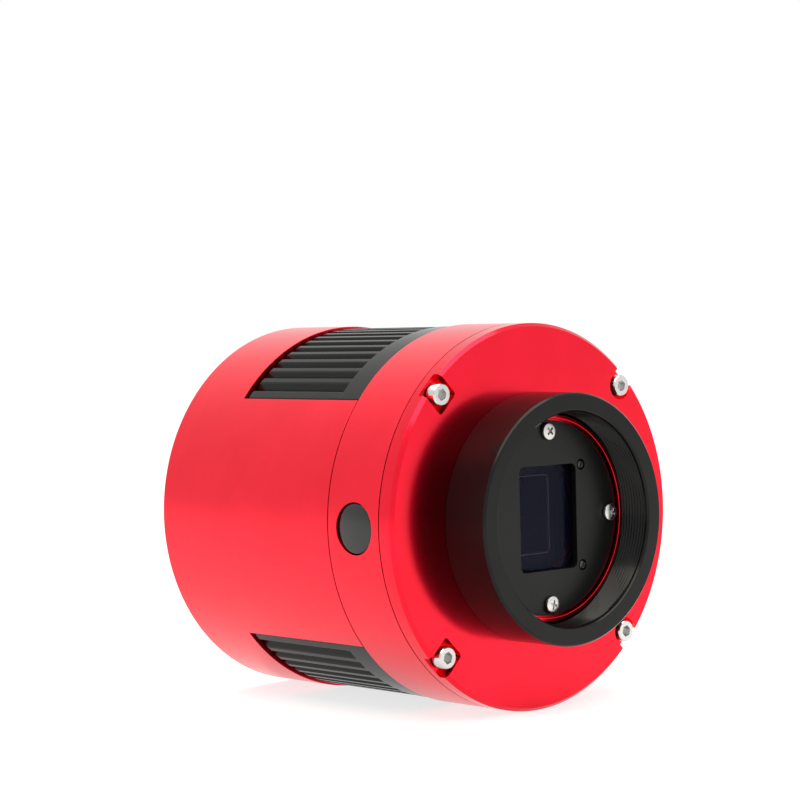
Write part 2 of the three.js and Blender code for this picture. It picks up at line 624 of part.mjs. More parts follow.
// Ledges on the two solid sides carry the main board, and pillars through it carry the back plate.
function heatSink() {
  const ledgeBackY = BOARD.front - GAP;
  const boss = block(BOSS_SIDE, BOSS_SIDE, COOLER_BACK_Y + GAP, sinkFrontY + PAST);
  const ledges = [0, 180].map((turn) =>
    sector(
      LEDGE.outerRadius, LEDGE.innerRadius, turn + LEDGE.from, turn + LEDGE.to,
      SINK_BACK_Y - PAST, ledgeBackY,
    ),
  );
  const pillars = pillarPlaces.map(({ x, z }) =>
    rod(PILLAR_R, SINK_BACK_Y - PAST, BACK_PLATE_FRONT_Y - GAP, x, z),
  );
  const pillarHoles = pillarPlaces.map(({ x, z }) =>
    rod(
      BACK_HEAD.shankRadius + THREAD_CLEARANCE,
      BACK_PLATE_FRONT_Y - BACK_SCREW_HOLE_DEPTH, BACK_PLATE_FRONT_Y, x, z, HOLE_ROUND,
    ),
  );
  const screwPockets = sinkScrewPlaces.map(({ x, z }) =>
    rod(SINK_POCKET_R, SINK_SCREW_SEAT_Y, ledgeBackY + PAST, x, z),
  );
  const screwHoles = sinkScrewPlaces.map(({ x, z }) =>
    rod(
      SINK_HEAD.shankRadius + THREAD_CLEARANCE,
      sinkFrontY - PAST, SINK_SCREW_SEAT_Y + PAST, x, z, HOLE_ROUND,
    ),
  );
  const stripSlots = [[SENSOR_CABLE, CABLE_X], [COOLER_LEAD, -CABLE_X]].map(([strip, x]) =>
    block(
      CABLE_SLOT_WIDTH, strip.width + 2 * STRIP_CLEARANCE,
      sinkFrontY - PAST, SLOT_FLOOR_Y + PAST, x,
    ),
  );
  return cut(
    join(cut(sinkBody(), ...slots()), boss, ...ledges, ...pillars),
    ...pillarHoles, ...screwPockets, ...screwHoles, ...stripSlots,
  );
}

add("heat_sink", heatSink(), black);
sinkScrewPlaces.forEach(({ x, z }, i) => {
  const top = SINK_SCREW_SEAT_Y + GAP + SINK_HEAD.height;
  add(`sink_screw_${i + 1}`, screw(SINK_HEAD, top, -1, x, z), steel);
});

// ------------------------------------------------------------------------------------------ rear shell

const fanScrewPlaces = fourPlaces(FAN_SCREW_OFFSET);

// The vents are open at the shell's front end, so the shell slides on over the heat sink from behind.
function rearShell() {
  const body = tube(BARREL_R, BARREL_R - SHELL_WALL, sinkFrontY, SHELL_BACK_Y);
  const vents = [0, 180].map((middle) => {
    const [from, to] = [middle - VENT_HALF_ANGLE, middle + VENT_HALF_ANGLE];
    return sector(BARREL_R + PAST, CHAMBER_R, from, to, sinkFrontY - PAST, VENT_BACK_Y);
  });
  return cut(body, ...vents);
}

function backPlate() {
  const [front, back] = [BACK_PLATE_FRONT_Y - PAST, SHELL_BACK_Y + PAST];
  const disc = rod(BARREL_R - SHELL_WALL - GAP, BACK_PLATE_FRONT_Y, SHELL_BACK_Y, 0, 0, ROUND);
  const duct = rod(FAN_DUCT_R, front, back, 0, 0, ROUND);
  const fanHoles = fanScrewPlaces.map(({ x, z }) => rod(FAN_SCREW_HOLE_R, front, back, x, z, HOLE_ROUND));
  const screwHoles = pillarPlaces.map(({ x, z }) =>
    join(
      rod(BACK_HEAD.shankRadius + THREAD_CLEARANCE, front, back, x, z, HOLE_ROUND),
      rod(BACK_HEAD.radius + THREAD_CLEARANCE, SHELL_BACK_Y - BACK_HEAD_POCKET_DEPTH, back, x, z),
    ),
  );
  const socketOpening = ({ width, height }, { x, z }) =>
    block(width + SOCKET_OPENING_CLEARANCE, height + SOCKET_OPENING_CLEARANCE, front, back, x, z);
  const usbA = USB_A_PLACES.map((place) => socketOpening(USB_A, place));
  const jackHoleR = POWER_JACK.radius + SOCKET_OPENING_CLEARANCE / 2;
  const jackHole = rod(jackHoleR, front, back, POWER_JACK.x, POWER_JACK.z);
  return cut(disc, duct, ...fanHoles, ...screwHoles, ...usbA, socketOpening(USB_B, USB_B), jackHole);
}

// Centre disc and two rings on four ribs, inside a square frame with round corners.
function fanGuard() {
  const { half, front, back, cornerRadius, discRadius } = GUARD;
  const frame = cut(
    plate(roundedRectangle(2 * half, 2 * half, cornerRadius), front, back, 6),
    rod(FAN_DUCT_R, front - PAST, back + PAST, 0, 0, MEDIUM_ROUND),
  );
  const rings = GUARD_RING_RADII.map((inner) =>
    tube(inner + GUARD_RING_WIDTH, inner, front, back, MEDIUM_ROUND),
  );
  const middle = rod(discRadius, front, back, 0, 0, MEDIUM_ROUND);
  const ribs = [45, 135].map((degrees) =>
    block(2 * (FAN_DUCT_R + PAST), GUARD_RIB_WIDTH, front, back).rotate([0, degrees, 0]),
  );
  const holes = fanScrewPlaces.map(({ x, z }) =>
    join(
      rod(FAN_SCREW_HOLE_R, front - PAST, back + PAST, x, z, HOLE_ROUND),
      rod(FAN_HEAD.radius + THREAD_CLEARANCE, back - GUARD_POCKET_DEPTH, back + PAST, x, z),
    ),
  );
  return cut(join(frame, middle, ...rings, ...ribs), ...holes);
}

add("rear_shell", rearShell(), red);
add("back_plate", backPlate(), red);
add("fan_guard", fanGuard(), plastic);
pillarPlaces.forEach(({ x, z }, i) => {
  add(`back_screw_${i + 1}`, screw(BACK_HEAD, SHELL_BACK_Y, -1, x, z), steel);
});
fanScrewPlaces.forEach(({ x, z }, i) => {
  add(`fan_screw_${i + 1}`, screw(FAN_HEAD, GUARD.back + FAN_HEAD.lift, -1, x, z), steel);
});

// -------------------------------------------------------------------------------------------------- fan

// Square frame with a round duct, and a motor seat on four struts at the exhaust side.
function fanFrame() {
  const seatFront = FAN_BACK_Y - MOTOR_SEAT.thickness;
  const [front, back] = [FAN_FRONT_Y - PAST, FAN_BACK_Y + PAST];
  const frame = cut(
    plate(roundedRectangle(FAN_SIDE, FAN_SIDE, FAN_CORNER_R), FAN_FRONT_Y, FAN_BACK_Y, 4),
    rod(FAN_DUCT_R, front, back, 0, 0, ROUND),
    ...fanScrewPlaces.map(({ x, z }) => rod(FAN_SCREW_HOLE_R, front, back, x, z, HOLE_ROUND)),
  );
  const seat = rod(HUB.radius, seatFront, FAN_BACK_Y, 0, 0, MEDIUM_ROUND);
  const struts = [0, 90].map((degrees) =>
    block(2 * FAN_DUCT_R + PAST, MOTOR_SEAT.strutWidth, seatFront, FAN_BACK_Y).rotate([0, degrees, 0]),
  );
  const { outer, inner, front: tubeFront } = BEARING_TUBE;
  const bearingTube = tube(outer, inner, tubeFront, seatFront + PLATE_OVERLAP, SMALL_ROUND);
  return join(frame, seat, ...struts, bearingTube);
}

// Cup-shaped hub with pitched blades.
function fanRotor() {
  const { radius, front, back, wall, boreRadius, shaftHoleR } = HUB;
  const cup = cut(
    rod(radius, front, back, 0, 0, MEDIUM_ROUND),
    rod(boreRadius, front + wall, back + PAST, 0, 0, MEDIUM_ROUND),
    rod(shaftHoleR, front - PAST, back, 0, 0, HOLE_ROUND),
  );
  const { tipRadius, rootRadius, thickness, chord, pitch } = BLADE;
  const blades = [];
  for (let i = 0; i < BLADE_COUNT; i += 1) {
    const blade = new THREE.BoxGeometry(tipRadius - rootRadius + PAST, thickness, chord);
    blade.rotateX(THREE.MathUtils.degToRad(pitch));
    blade.translate((tipRadius + rootRadius + PAST) / 2, (front + back) / 2, 0);
    blade.rotateY((2 * Math.PI * i) / BLADE_COUNT);
    blades.push(solid(blade));
  }
  const envelope = tube(tipRadius, rootRadius, front, back, MEDIUM_ROUND);
  return join(cup, wasm.Manifold.union(blades).intersect(envelope));
}

// Wound core with a cross of slots in its front end.
function fanStator() {
  const { radius, boreRadius, front, back, slotWidth, slotDepth } = STATOR;
  const body = tube(radius, boreRadius, front, back, MEDIUM_ROUND);
  const cross = [45, 135].map((degrees) =>
    block(2 * HUB.radius, slotWidth, front - PAST, front + slotDepth).rotate([0, degrees, 0]),
  );
  return cut(body, ...cross);
}

add("fan_frame", fanFrame(), plastic);
add("fan_rotor", fanRotor(), plastic);
add("fan_shaft", rod(SHAFT.radius, SHAFT.front, SHAFT.back, 0, 0, HOLE_ROUND), steel);
const bearing = tube(BEARING.radius, BEARING.boreRadius, BEARING.front, BEARING.back, SMALL_ROUND);
add("fan_bearing", bearing, copper);
add("fan_stator", fanStator(), copper);

// ------------------------------------------------------------------------------------------ electronics

const boardBackY = BOARD.front + BOARD.thickness;
const socketFrontY = boardBackY + GAP;

function mainBoard() {
  const ring = tube(BOARD.radius, BOARD.holeRadius, BOARD.front, boardBackY);
  const holeR = PILLAR_R + BOARD.pillarClearance;
  const holes = pillarPlaces.map(({ x, z }) => rod(holeR, BOARD.front - PAST, boardBackY + PAST, x, z));
  return cut(ring, ...holes);
}

// A metal shell around a mouth with a contact tongue standing in it.
function usbSocket(size, tongue, { x, z }) {
  const floor = SOCKET_BACK_Y - SOCKET_DEPTH;
  const shell = block(size.width, size.height, socketFrontY, SOCKET_BACK_Y, x, z);
  const mouth = block(size.mouthWidth, size.mouthHeight, floor, SOCKET_BACK_Y + PAST, x, z);
  const tongueBack = SOCKET_BACK_Y - TONGUE_RECESS;
  return join(
    cut(shell, mouth),
    block(tongue.width, tongue.height, floor - PAST, tongueBack, x, z + tongue.rise),
  );
}

// A square base with a round collar, and a centre pin in its bore.
function powerSocket() {
  const { x, z, radius, boreRadius, pinRadius, baseSide } = POWER_JACK;
  const floor = SOCKET_BACK_Y - SOCKET_DEPTH;
  const baseBack = BACK_PLATE_FRONT_Y - 2 * PAST;
  const body = join(
    block(baseSide, baseSide, socketFrontY, baseBack, x, z),
    rod(radius, baseBack - PAST, SOCKET_BACK_Y, x, z),
  );
  const bore = rod(boreRadius, floor, SOCKET_BACK_Y + PAST, x, z);
  const pin = rod(pinRadius, floor - PAST, SOCKET_BACK_Y - POWER_PIN_RECESS, x, z, HOLE_ROUND);
  return join(cut(body, bore), pin);
}

add("main_board", mainBoard(), board);
USB_A_PLACES.forEach((place, i) => {
  add(`usb_a_socket_${i + 1}`, usbSocket(USB_A, USB_A_TONGUE, place), steel);
});
add("usb_b_socket", usbSocket(USB_B, USB_B_TONGUE, USB_B), steel);
add("power_socket", powerSocket(), plastic);

// -------------------------------------------------------------------------------------- inner cables

// A strip that leaves its start sideways, turns back along Y and turns out again onto the main board.
function flatStrip({ width, thickness, startX }, side, startY) {
  const half = thickness / 2;
  const endY = boardBackY + GAP + half;
  const shape = new THREE.Shape();
  shape.moveTo(side * startX, startY - half);
  shape.lineTo(side * (CABLE_X + half), startY - half);
  shape.lineTo(side * (CABLE_X + half), endY - half);
  shape.lineTo(side * STRIP_END_X, endY - half);
  shape.lineTo(side * STRIP_END_X, endY + half);
  shape.lineTo(side * (CABLE_X - half), endY + half);
  shape.lineTo(side * (CABLE_X - half), startY + half);
  shape.lineTo(side * startX, startY + half);
  const strip = new THREE.ExtrudeGeometry(shape, { depth: width, bevelEnabled: false });
  strip.translate(0, 0, -width / 2);
  return solid(strip);
}

// A round wire that bends from the fan's side down onto the main board.
function fanLead() {
  const { radius, z, startX, startY, endX } = FAN_LEAD;
  const endY = boardBackY + GAP;
  const path = new THREE.CatmullRomCurve3([
    new THREE.Vector3(startX, startY, z),
    new THREE.Vector3((startX + endX) / 2, startY - radius, z),
    new THREE.Vector3(endX, (startY + endY) / 2, z),
    new THREE.Vector3(endX, endY, z),
  ]);
  const section = new THREE.Shape();
  section.absarc(0, 0, radius, 0, 2 * Math.PI);
  return solid(new THREE.ExtrudeGeometry(section, { extrudePath: path, steps: 12, curveSegments: 4 }));
}

const sensorStripY = sensorBoardBackY + GAP + SENSOR_CABLE.thickness / 2;
const coolerStripY = COOLER_BACK_Y - COOLER_FACE - GAP - COOLER_LEAD.thickness;
add("sensor_cable", flatStrip(SENSOR_CABLE, 1, sensorStripY), copper);
add("cooler_lead", flatStrip(COOLER_LEAD, -1, coolerStripY), copper);
add("fan_lead", fanLead(), plastic);

export default camera;
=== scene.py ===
"""Cooled astronomy camera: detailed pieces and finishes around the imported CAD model.

Lengths in this script are millimetres in the row frame until a piece is finished, which scales it to metres.
The optical axis is Y: the adapter ring's front face is at y = 0 and the body runs to +Y. Z is up.
"""

import json
import math

import bmesh
import bpy
from mathutils import Matrix, Vector


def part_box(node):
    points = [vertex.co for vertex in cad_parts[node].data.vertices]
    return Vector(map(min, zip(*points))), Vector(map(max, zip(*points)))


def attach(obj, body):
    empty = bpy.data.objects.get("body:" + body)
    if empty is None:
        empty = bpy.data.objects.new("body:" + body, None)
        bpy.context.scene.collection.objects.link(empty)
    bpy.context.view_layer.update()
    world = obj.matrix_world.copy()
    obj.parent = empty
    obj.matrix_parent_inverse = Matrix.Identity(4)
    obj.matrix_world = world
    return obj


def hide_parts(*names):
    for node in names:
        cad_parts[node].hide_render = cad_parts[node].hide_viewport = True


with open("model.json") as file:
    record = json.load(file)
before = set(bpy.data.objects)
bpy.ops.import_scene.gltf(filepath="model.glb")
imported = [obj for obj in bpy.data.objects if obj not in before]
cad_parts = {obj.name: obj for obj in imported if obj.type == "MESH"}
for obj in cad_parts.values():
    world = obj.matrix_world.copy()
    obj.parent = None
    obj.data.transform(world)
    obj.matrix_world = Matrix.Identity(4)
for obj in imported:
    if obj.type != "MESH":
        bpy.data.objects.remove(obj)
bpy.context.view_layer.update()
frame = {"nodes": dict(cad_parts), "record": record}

MM = 0.001
CLEAR = 1.0  # how far a cutter reaches past the face that it cuts

# Steps round a turned shape
BARREL_STEPS = 360
ROUND = 256
FINE = 64
SMALL = 32

BODY = "camera_body"
FAN = "fan"
ADAPTER = "adapter"
HOLDER = "desiccant_holder"


def box(node):
    """A CAD node's lowest and highest corner, in millimetres."""
    low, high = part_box(node)
    return low / MM, high / MM


def middle(low, high):
    """The (x, z) middle of a box."""
    return (low.x + high.x) / 2, (low.z + high.z) / 2


def places(node, count):
    """The (x, z) middles of numbered CAD nodes."""
    return [middle(*box(f"{node}_{i}")) for i in range(1, count + 1)]


# ---------- finishes

# Metres
METAL_BUMP = 0.00002
GRAIN_BUMP = 0.00003
RIM_BLEND = 0.0001

# The colour sockets of a mix node, whose names are shared with its other sockets
MIX_FIRST = 6
MIX_SECOND = 7
MIX_COLOUR = 2


finishes = {}


def shader(name):
    """Adds a finish. Gives its Principled shader and two helpers, which add nodes and link to the shader."""
    made = finishes[name] = bpy.data.materials.new(name)
    made.use_nodes = True
    tree = made.node_tree
    principled = tree.nodes["Principled BSDF"]

    def node(kind, inputs=None, **settings):
        added = tree.nodes.new(kind)
        for key, value in settings.items():
            setattr(added, key, value)
        for key, value in (inputs or {}).items():
            socket = added.inputs[key]
            if isinstance(value, bpy.types.NodeSocket):
                tree.links.new(value, socket)
            else:
                socket.default_value = value
        return added

    def link(source, socket):
        tree.links.new(source, principled.inputs[socket])

    return principled, node, link


def ramp(node, factor, low, high, stops=(0.3, 0.7)):
    """A colour ramp between two colours."""
    made = node("ShaderNodeValToRGB", {"Fac": factor})
    for element, place, colour in zip(made.color_ramp.elements, stops, (low, high)):
        element.position = place
        element.color = (*colour, 1.0)
    return made.outputs["Color"]


def scaled(node, factor, low, high):
    """A 0 to 1 factor mapped onto a range."""
    made = node("ShaderNodeMapRange", {"Value": factor, "To Min": low, "To Max": high})
    return made.outputs["Result"]


def turning_coordinates(node):
    """Radius from the optical axis and place along it, so that noise on them gives lathe marks."""
    place = node("ShaderNodeTexCoord").outputs["Object"]
    parts = node("ShaderNodeSeparateXYZ", {"Vector": place})
    xx = node("ShaderNodeMath", {0: parts.outputs["X"], 1: parts.outputs["X"]}, operation="MULTIPLY")
    zz = node("ShaderNodeMath", {0: parts.outputs["Z"], 1: parts.outputs["Z"]}, operation="MULTIPLY")
    total = node("ShaderNodeMath", {0: xx.outputs[0], 1: zz.outputs[0]}, operation="ADD")
    radius = node("ShaderNodeMath", {0: total.outputs[0]}, operation="SQRT")
    made = node("ShaderNodeCombineXYZ", {"X": radius.outputs[0], "Y": parts.outputs["Y"]})
    return made.outputs["Vector"]


def metal(name, dark, light, roughness, coat=0.0, coat_roughness=0.1, metallic=1.0, specular=0.5, rim=None):
    """A turned metal: two close colours, lathe marks and a fine etched grain.

    A rim (radius in metres, colour) gives everything outside that radius another colour: a painted
    highlight, lighter than the rest, that stands in for the light caught by the heat sink's outermost band
    and fin tips.
    """
    principled, node, link = shader(name)
    turning = turning_coordinates(node)
    place = node("ShaderNodeTexCoord").outputs["Object"]
    broad = node("ShaderNodeTexNoise", {"Vector": place, "Scale": 90.0, "Detail": 3.0})
    lines = node("ShaderNodeTexNoise", {"Vector": turning, "Scale": 5000.0, "Detail": 2.0})
    etch = node("ShaderNodeTexNoise", {"Vector": place, "Scale": 9000.0, "Detail": 2.0})
    colour = ramp(node, broad.outputs["Fac"], dark, light)
    # Painted highlight: everything beyond the rim radius takes the lighter rim colour
    if rim:
        rim_radius, painted_highlight_colour = rim
        radius = node("ShaderNodeSeparateXYZ", {"Vector": turning}).outputs["X"]
        limits = {"Value": radius, "From Min": rim_radius - RIM_BLEND, "From Max": rim_radius}
        outside = node("ShaderNodeMapRange", limits).outputs["Result"]
        sides = {"Factor": outside, MIX_FIRST: colour, MIX_SECOND: (*painted_highlight_colour, 1.0)}
        colour = node("ShaderNodeMix", sides, data_type="RGBA").outputs[MIX_COLOUR]
    link(colour, "Base Color")
    link(scaled(node, lines.outputs["Fac"], *roughness), "Roughness")
    marked = {"Height": lines.outputs["Fac"], "Strength": 0.12, "Distance": METAL_BUMP}
    normal = node("ShaderNodeBump", marked).outputs["Normal"]
    etched = {"Height": etch.outputs["Fac"], "Strength": 0.06, "Distance": METAL_BUMP, "Normal": normal}
    link(node("ShaderNodeBump", etched).outputs["Normal"], "Normal")
    principled.inputs["Metallic"].default_value = metallic
    principled.inputs["Specular IOR Level"].default_value = specular
    principled.inputs["Coat Weight"].default_value = coat
    principled.inputs["Coat Roughness"].default_value = coat_roughness


def moulded(name, dark, light, roughness, bump=0.15, ior=1.5):
    """A moulded, sintered or cast surface: two close colours and a fine grain in roughness and bump."""
    principled, node, link = shader(name)
    place = node("ShaderNodeTexCoord").outputs["Object"]
    grain = node("ShaderNodeTexNoise", {"Vector": place, "Scale": 1500.0, "Detail": 4.0})
    broad = node("ShaderNodeTexNoise", {"Vector": place, "Scale": 1500.0 / 18.0, "Detail": 2.0})
    link(ramp(node, broad.outputs["Fac"], dark, light), "Base Color")
    link(scaled(node, grain.outputs["Fac"], *roughness), "Roughness")
    raised = {"Height": grain.outputs["Fac"], "Strength": bump, "Distance": GRAIN_BUMP}
    link(node("ShaderNodeBump", raised).outputs["Normal"], "Normal")
    principled.inputs["IOR"].default_value = ior


def circuit_board():
    """Green solder mask over faint tracks."""
    principled, node, link = shader("circuit_board")
    place = node("ShaderNodeTexCoord").outputs["Object"]
    tracks = node("ShaderNodeTexBrick", {
        "Vector": place, "Scale": 420.0, "Mortar Size": 0.06, "Mortar": (0.02, 0.12, 0.04, 1.0),
        "Color1": (0.006, 0.06, 0.02, 1.0), "Color2": (0.005, 0.05, 0.018, 1.0),
    })
    grain = node("ShaderNodeTexNoise", {"Vector": place, "Scale": 900.0})
    link(tracks.outputs["Color"], "Base Color")
    link(scaled(node, grain.outputs["Fac"], 0.3, 0.42), "Roughness")
    raised = {"Height": tracks.outputs["Fac"], "Strength": 0.2, "Distance": GRAIN_BUMP}
    link(node("ShaderNodeBump", raised).outputs["Normal"], "Normal")


def coated_glass():
    """Coated optical glass seen as a dark tint with a sharp gloss."""
    tint, roughness = (0.003, 0.003, 0.010), 0.02
    principled, node, link = shader("window")
    place = node("ShaderNodeTexCoord").outputs["Object"]
    haze = node("ShaderNodeTexNoise", {"Vector": place, "Scale": 60.0, "Detail": 2.0})
    link(ramp(node, haze.outputs["Fac"], tint, tuple(1.15 * part for part in tint)), "Base Color")
    link(scaled(node, haze.outputs["Fac"], roughness, roughness + 0.015), "Roughness")
    principled.inputs["Alpha"].default_value = 0.5
    principled.inputs["Specular IOR Level"].default_value = 0.14
    principled.inputs["Specular Tint"].default_value = (0.6, 0.62, 1.0, 1.0)


def sensor_silicon():
    """A sensor's cell array: a fine grid over dark violet silicon."""
    principled, node, link = shader("sensor_silicon")
    place = node("ShaderNodeTexCoord").outputs["Object"]
    cells = node("ShaderNodeTexBrick", {
        "Vector": place, "Scale": 2500.0, "Mortar Size": 0.05, "Mortar": (0.03, 0.02, 0.06, 1.0),
        "Color1": (0.012, 0.010, 0.035, 1.0), "Color2": (0.014, 0.011, 0.040, 1.0),
    })
    haze = node("ShaderNodeTexNoise", {"Vector": place, "Scale": 150.0})
    link(cells.outputs["Color"], "Base Color")
    link(scaled(node, haze.outputs["Fac"], 0.08, 0.16), "Roughness")
    principled.inputs["Metallic"].default_value = 0.4


RED_DARK = (0.79, 0.003, 0.020)
RED_LIGHT = (0.85, 0.005, 0.026)
BLACK_DARK = (0.003, 0.003, 0.003)
BLACK_LIGHT = (0.005, 0.005, 0.005)
# The heat sink's outer band and fin tips, beyond 38.4 mm, are painted a lighter grey: a painted highlight
# for the light that they catch
SINK_PAINTED_HIGHLIGHT = (0.0384, (0.012, 0.012, 0.0115))
metal("red_anodised", RED_DARK, RED_LIGHT, (0.24, 0.34), coat=0.34, coat_roughness=0.2)
metal("red_face", RED_DARK, RED_LIGHT, (0.16, 0.24), coat=0.26, coat_roughness=0.12)
metal("black_anodised", BLACK_DARK, BLACK_LIGHT, (0.28, 0.38), metallic=0.0, specular=0.22)
metal("black_ring", BLACK_DARK, BLACK_LIGHT, (0.15, 0.22), metallic=0.0, specular=0.17)
# The black heat sink, with the painted highlight on its outer band and fin tips
metal("black_sink", (0.003, 0.003, 0.0029), (0.005, 0.005, 0.0048), (0.15, 0.22), metallic=0.0,
      specular=0.17, rim=SINK_PAINTED_HIGHLIGHT)
metal("steel_screws", (0.56, 0.55, 0.54), (0.66, 0.65, 0.64), (0.16, 0.3))
metal("grey_screws", (0.05, 0.05, 0.05), (0.08, 0.08, 0.08), (0.3, 0.45))
metal("socket_steel", (0.62, 0.62, 0.61), (0.74, 0.74, 0.73), (0.2, 0.34))
metal("copper", (0.72, 0.33, 0.18), (0.82, 0.42, 0.25), (0.25, 0.4))
moulded("rubber", (0.008, 0.008, 0.008), (0.014, 0.014, 0.014), (0.65, 0.85))
moulded("black_plastic", (0.010, 0.010, 0.011), (0.016, 0.016, 0.017), (0.38, 0.55))
moulded("plug_plastic", (0.004, 0.004, 0.004), (0.006, 0.006, 0.006), (0.05, 0.09), bump=0.02, ior=1.48)
moulded("lid_seam", (0.80, 0.80, 0.86), (0.86, 0.86, 0.92), (0.4, 0.6))
moulded("ceramic", (0.06, 0.052, 0.046), (0.08, 0.07, 0.062), (0.5, 0.7))
moulded("white_ceramic", (0.72, 0.72, 0.7), (0.82, 0.82, 0.8), (0.5, 0.7))
moulded("foam", (0.02, 0.02, 0.021), (0.035, 0.035, 0.036), (0.85, 1.0), bump=0.8)
circuit_board()
coated_glass()
sensor_silicon()


# ---------- shapes

SAME_POINT = 1e-5
SAME_CUT_POINT = 0.004
FLAT_ANGLE = 0.2
THREAD_FADE = 0.6  # pitches


def mesh_object(name, corners, faces):
    """An unfinished object in millimetres, with its faces turned outwards."""
    mesh = bpy.data.meshes.new(name)
    mesh.from_pydata(corners, [], faces)
    work = bmesh.new()
    work.from_mesh(mesh)
    bmesh.ops.remove_doubles(work, verts=work.verts, dist=SAME_POINT)
    bmesh.ops.recalc_face_normals(work, faces=work.faces)
    work.to_mesh(mesh)
    work.free()
    made = bpy.data.objects.new(name, mesh)
    bpy.context.scene.collection.objects.link(made)
    return made


def lathe(name, profile, count=ROUND, ripple=None):
    """A closed (radius, y) profile turned about Y. ripple(index, turn, radius) may change each radius."""
    corners, rings, faces = [], [], []
    for index, (radius, y) in enumerate(profile):
        if radius == 0:
            rings.append([len(corners)] * count)
            corners.append((0.0, y, 0.0))
            continue
        rings.append(list(range(len(corners), len(corners) + count)))
        for step in range(count):
            turn = step / count
            r = ripple(index, turn, radius) if ripple else radius
            corners.append((r * math.cos(math.tau * turn), y, r * math.sin(math.tau * turn)))
    for here, after in zip(rings, rings[1:] + rings[:1]):
        for step in range(count):
            following = (step + 1) % count
            loop = [here[step], after[step], after[following], here[following]]
            face = [c for i, c in enumerate(loop) if c not in loop[:i]]
            if len(face) > 2:
                faces.append(face)
    return mesh_object(name, corners, faces)


def prism(name, outline, front, back):
    """An (x, z) outline extruded from front to back along Y."""
    count = len(outline)
    corners = [(x, front, z) for x, z in outline] + [(x, back, z) for x, z in outline]
    faces = [list(range(count)), list(range(2 * count - 1, count - 1, -1))]
    for i in range(count):
        j = (i + 1) % count
        faces.append([i, j, count + j, count + i])
    return mesh_object(name, corners, faces)


def circle(radius, x=0.0, z=0.0, count=FINE, start=0.0):
    angles = [start + math.tau * i / count for i in range(count)]
    return [(x + radius * math.cos(a), z + radius * math.sin(a)) for a in angles]


def arc(radius, x, z, start, end, count):
    """Points on an arc; angles in degrees from +X towards +Z."""
    angles = [math.radians(start + (end - start) * i / count) for i in range(count + 1)]
    return [(x + radius * math.cos(a), z + radius * math.sin(a)) for a in angles]


def rounded_rectangle(width, height, radius, x=0.0, z=0.0, count=8):
    right, top = width / 2 - radius, height / 2 - radius
    corners = [(right, top, 0), (-right, top, 90), (-right, -top, 180), (right, -top, 270)]
    return [p for cx, cz, a in corners for p in arc(radius, x + cx, z + cz, a, a + 90, count)]


def sector(outer, inner, start, end, count=48):
    """A sector of a ring; angles in degrees from the top, clockwise as seen from the front."""
    return arc(outer, 0, 0, 90 - start, 90 - end, count) + arc(inner, 0, 0, 90 - end, 90 - start, count)


def through(outline, front, back):
    """A cutter that passes right through a plate."""
    return prism("cutter", outline, front - CLEAR, back + CLEAR)


def rods(radius, middles, front, back):
    """Round rods at (x, z) middles, to cut holes with or to add."""
    return [prism("cutter", circle(radius, x, z, SMALL), front, back) for x, z in middles]


def moved(obj, matrix):
    obj.data.transform(matrix)
    if matrix.determinant() < 0:
        obj.data.flip_normals()
    return obj


def shifted(obj, x=0.0, y=0.0, z=0.0):
    return moved(obj, Matrix.Translation((x, y, z)))


def turned(obj, degrees, axis):
    return moved(obj, Matrix.Rotation(math.radians(degrees), 4, axis))


def bake(obj):
    """Applies the modifiers."""
    graph = bpy.context.evaluated_depsgraph_get()
    mesh = bpy.data.meshes.new_from_object(obj.evaluated_get(graph), depsgraph=graph)
    obj.modifiers.clear()
    obj.data = mesh
    return obj


def combine(obj, others, operation):
    """Adds the other solids to obj, or cuts them from it, and removes them."""
    for other in others:
        step = obj.modifiers.new("combine", "BOOLEAN")
        step.operation = operation
        step.solver = "MANIFOLD"
        step.object = other
    bake(obj)
    for other in others:
        bpy.data.objects.remove(other, do_unlink=True)
    return obj


def carve(obj, *cutters):
    return combine(obj, cutters, "DIFFERENCE")


def weld(obj, *others):
    return combine(obj, others, "UNION")


def soften(obj, width, segments=2, angle=28.0):
    """Rounds each sharp edge of a solid."""
    work = bmesh.new()
    work.from_mesh(obj.data)
    bmesh.ops.remove_doubles(work, verts=work.verts, dist=SAME_CUT_POINT)
    flat = math.radians(FLAT_ANGLE)
    bmesh.ops.dissolve_limit(
        work, angle_limit=flat, verts=work.verts, edges=work.edges, use_dissolve_boundaries=False
    )
    work.to_mesh(obj.data)
    work.free()
    edge = obj.modifiers.new("edges", "BEVEL")
    edge.width = width
    edge.segments = segments
    edge.limit_method = "ANGLE"
    edge.angle_limit = math.radians(angle)
    edge.use_clamp_overlap = False
    return bake(obj)


def piece(obj, body, slot, finish=None, replaces=(), crease=35.0):
    """Scales an object to metres and makes it a part of the camera."""
    obj.data.transform(Matrix.Scale(MM, 4))
    obj.data.shade_smooth()
    obj.data.set_sharp_from_angle(angle=math.radians(crease))
    weighted = obj.modifiers.new("shading", "WEIGHTED_NORMAL")
    weighted.keep_sharp = True
    obj.data.materials.clear()
    obj.data.materials.append(finishes[finish or slot])
    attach(obj, body)
    if replaces:
        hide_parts(*replaces)
    return obj


def helix(rows, pitch, depth):
    """A ripple that lays a thread of one start over profile rows, given as index -> (y, strength)."""

    def ripple(index, turn, radius):
        if index not in rows:
            return radius
        y, strength = rows[index]
        phase = (y / pitch - turn) % 1.0
        return radius + depth * strength * (abs(2.0 * phase - 1.0) - 0.5)

    return ripple


def thread_rows(radius, front, back, pitch, first_index, per_pitch=6):
    """Profile points and helix rows for a threaded stretch whose thread fades out at both ends."""
    count = int(abs(back - front) / pitch * per_pitch)
    points, rows = [], {}
    for i in range(count + 1):
        y = front + (back - front) * i / count
        fade = min(1.0, abs(y - front) / (THREAD_FADE * pitch), abs(back - y) / (THREAD_FADE * pitch))
        points.append((radius, y))
        rows[first_index + i] = (y, fade)
    return points, rows


# ---------- front end

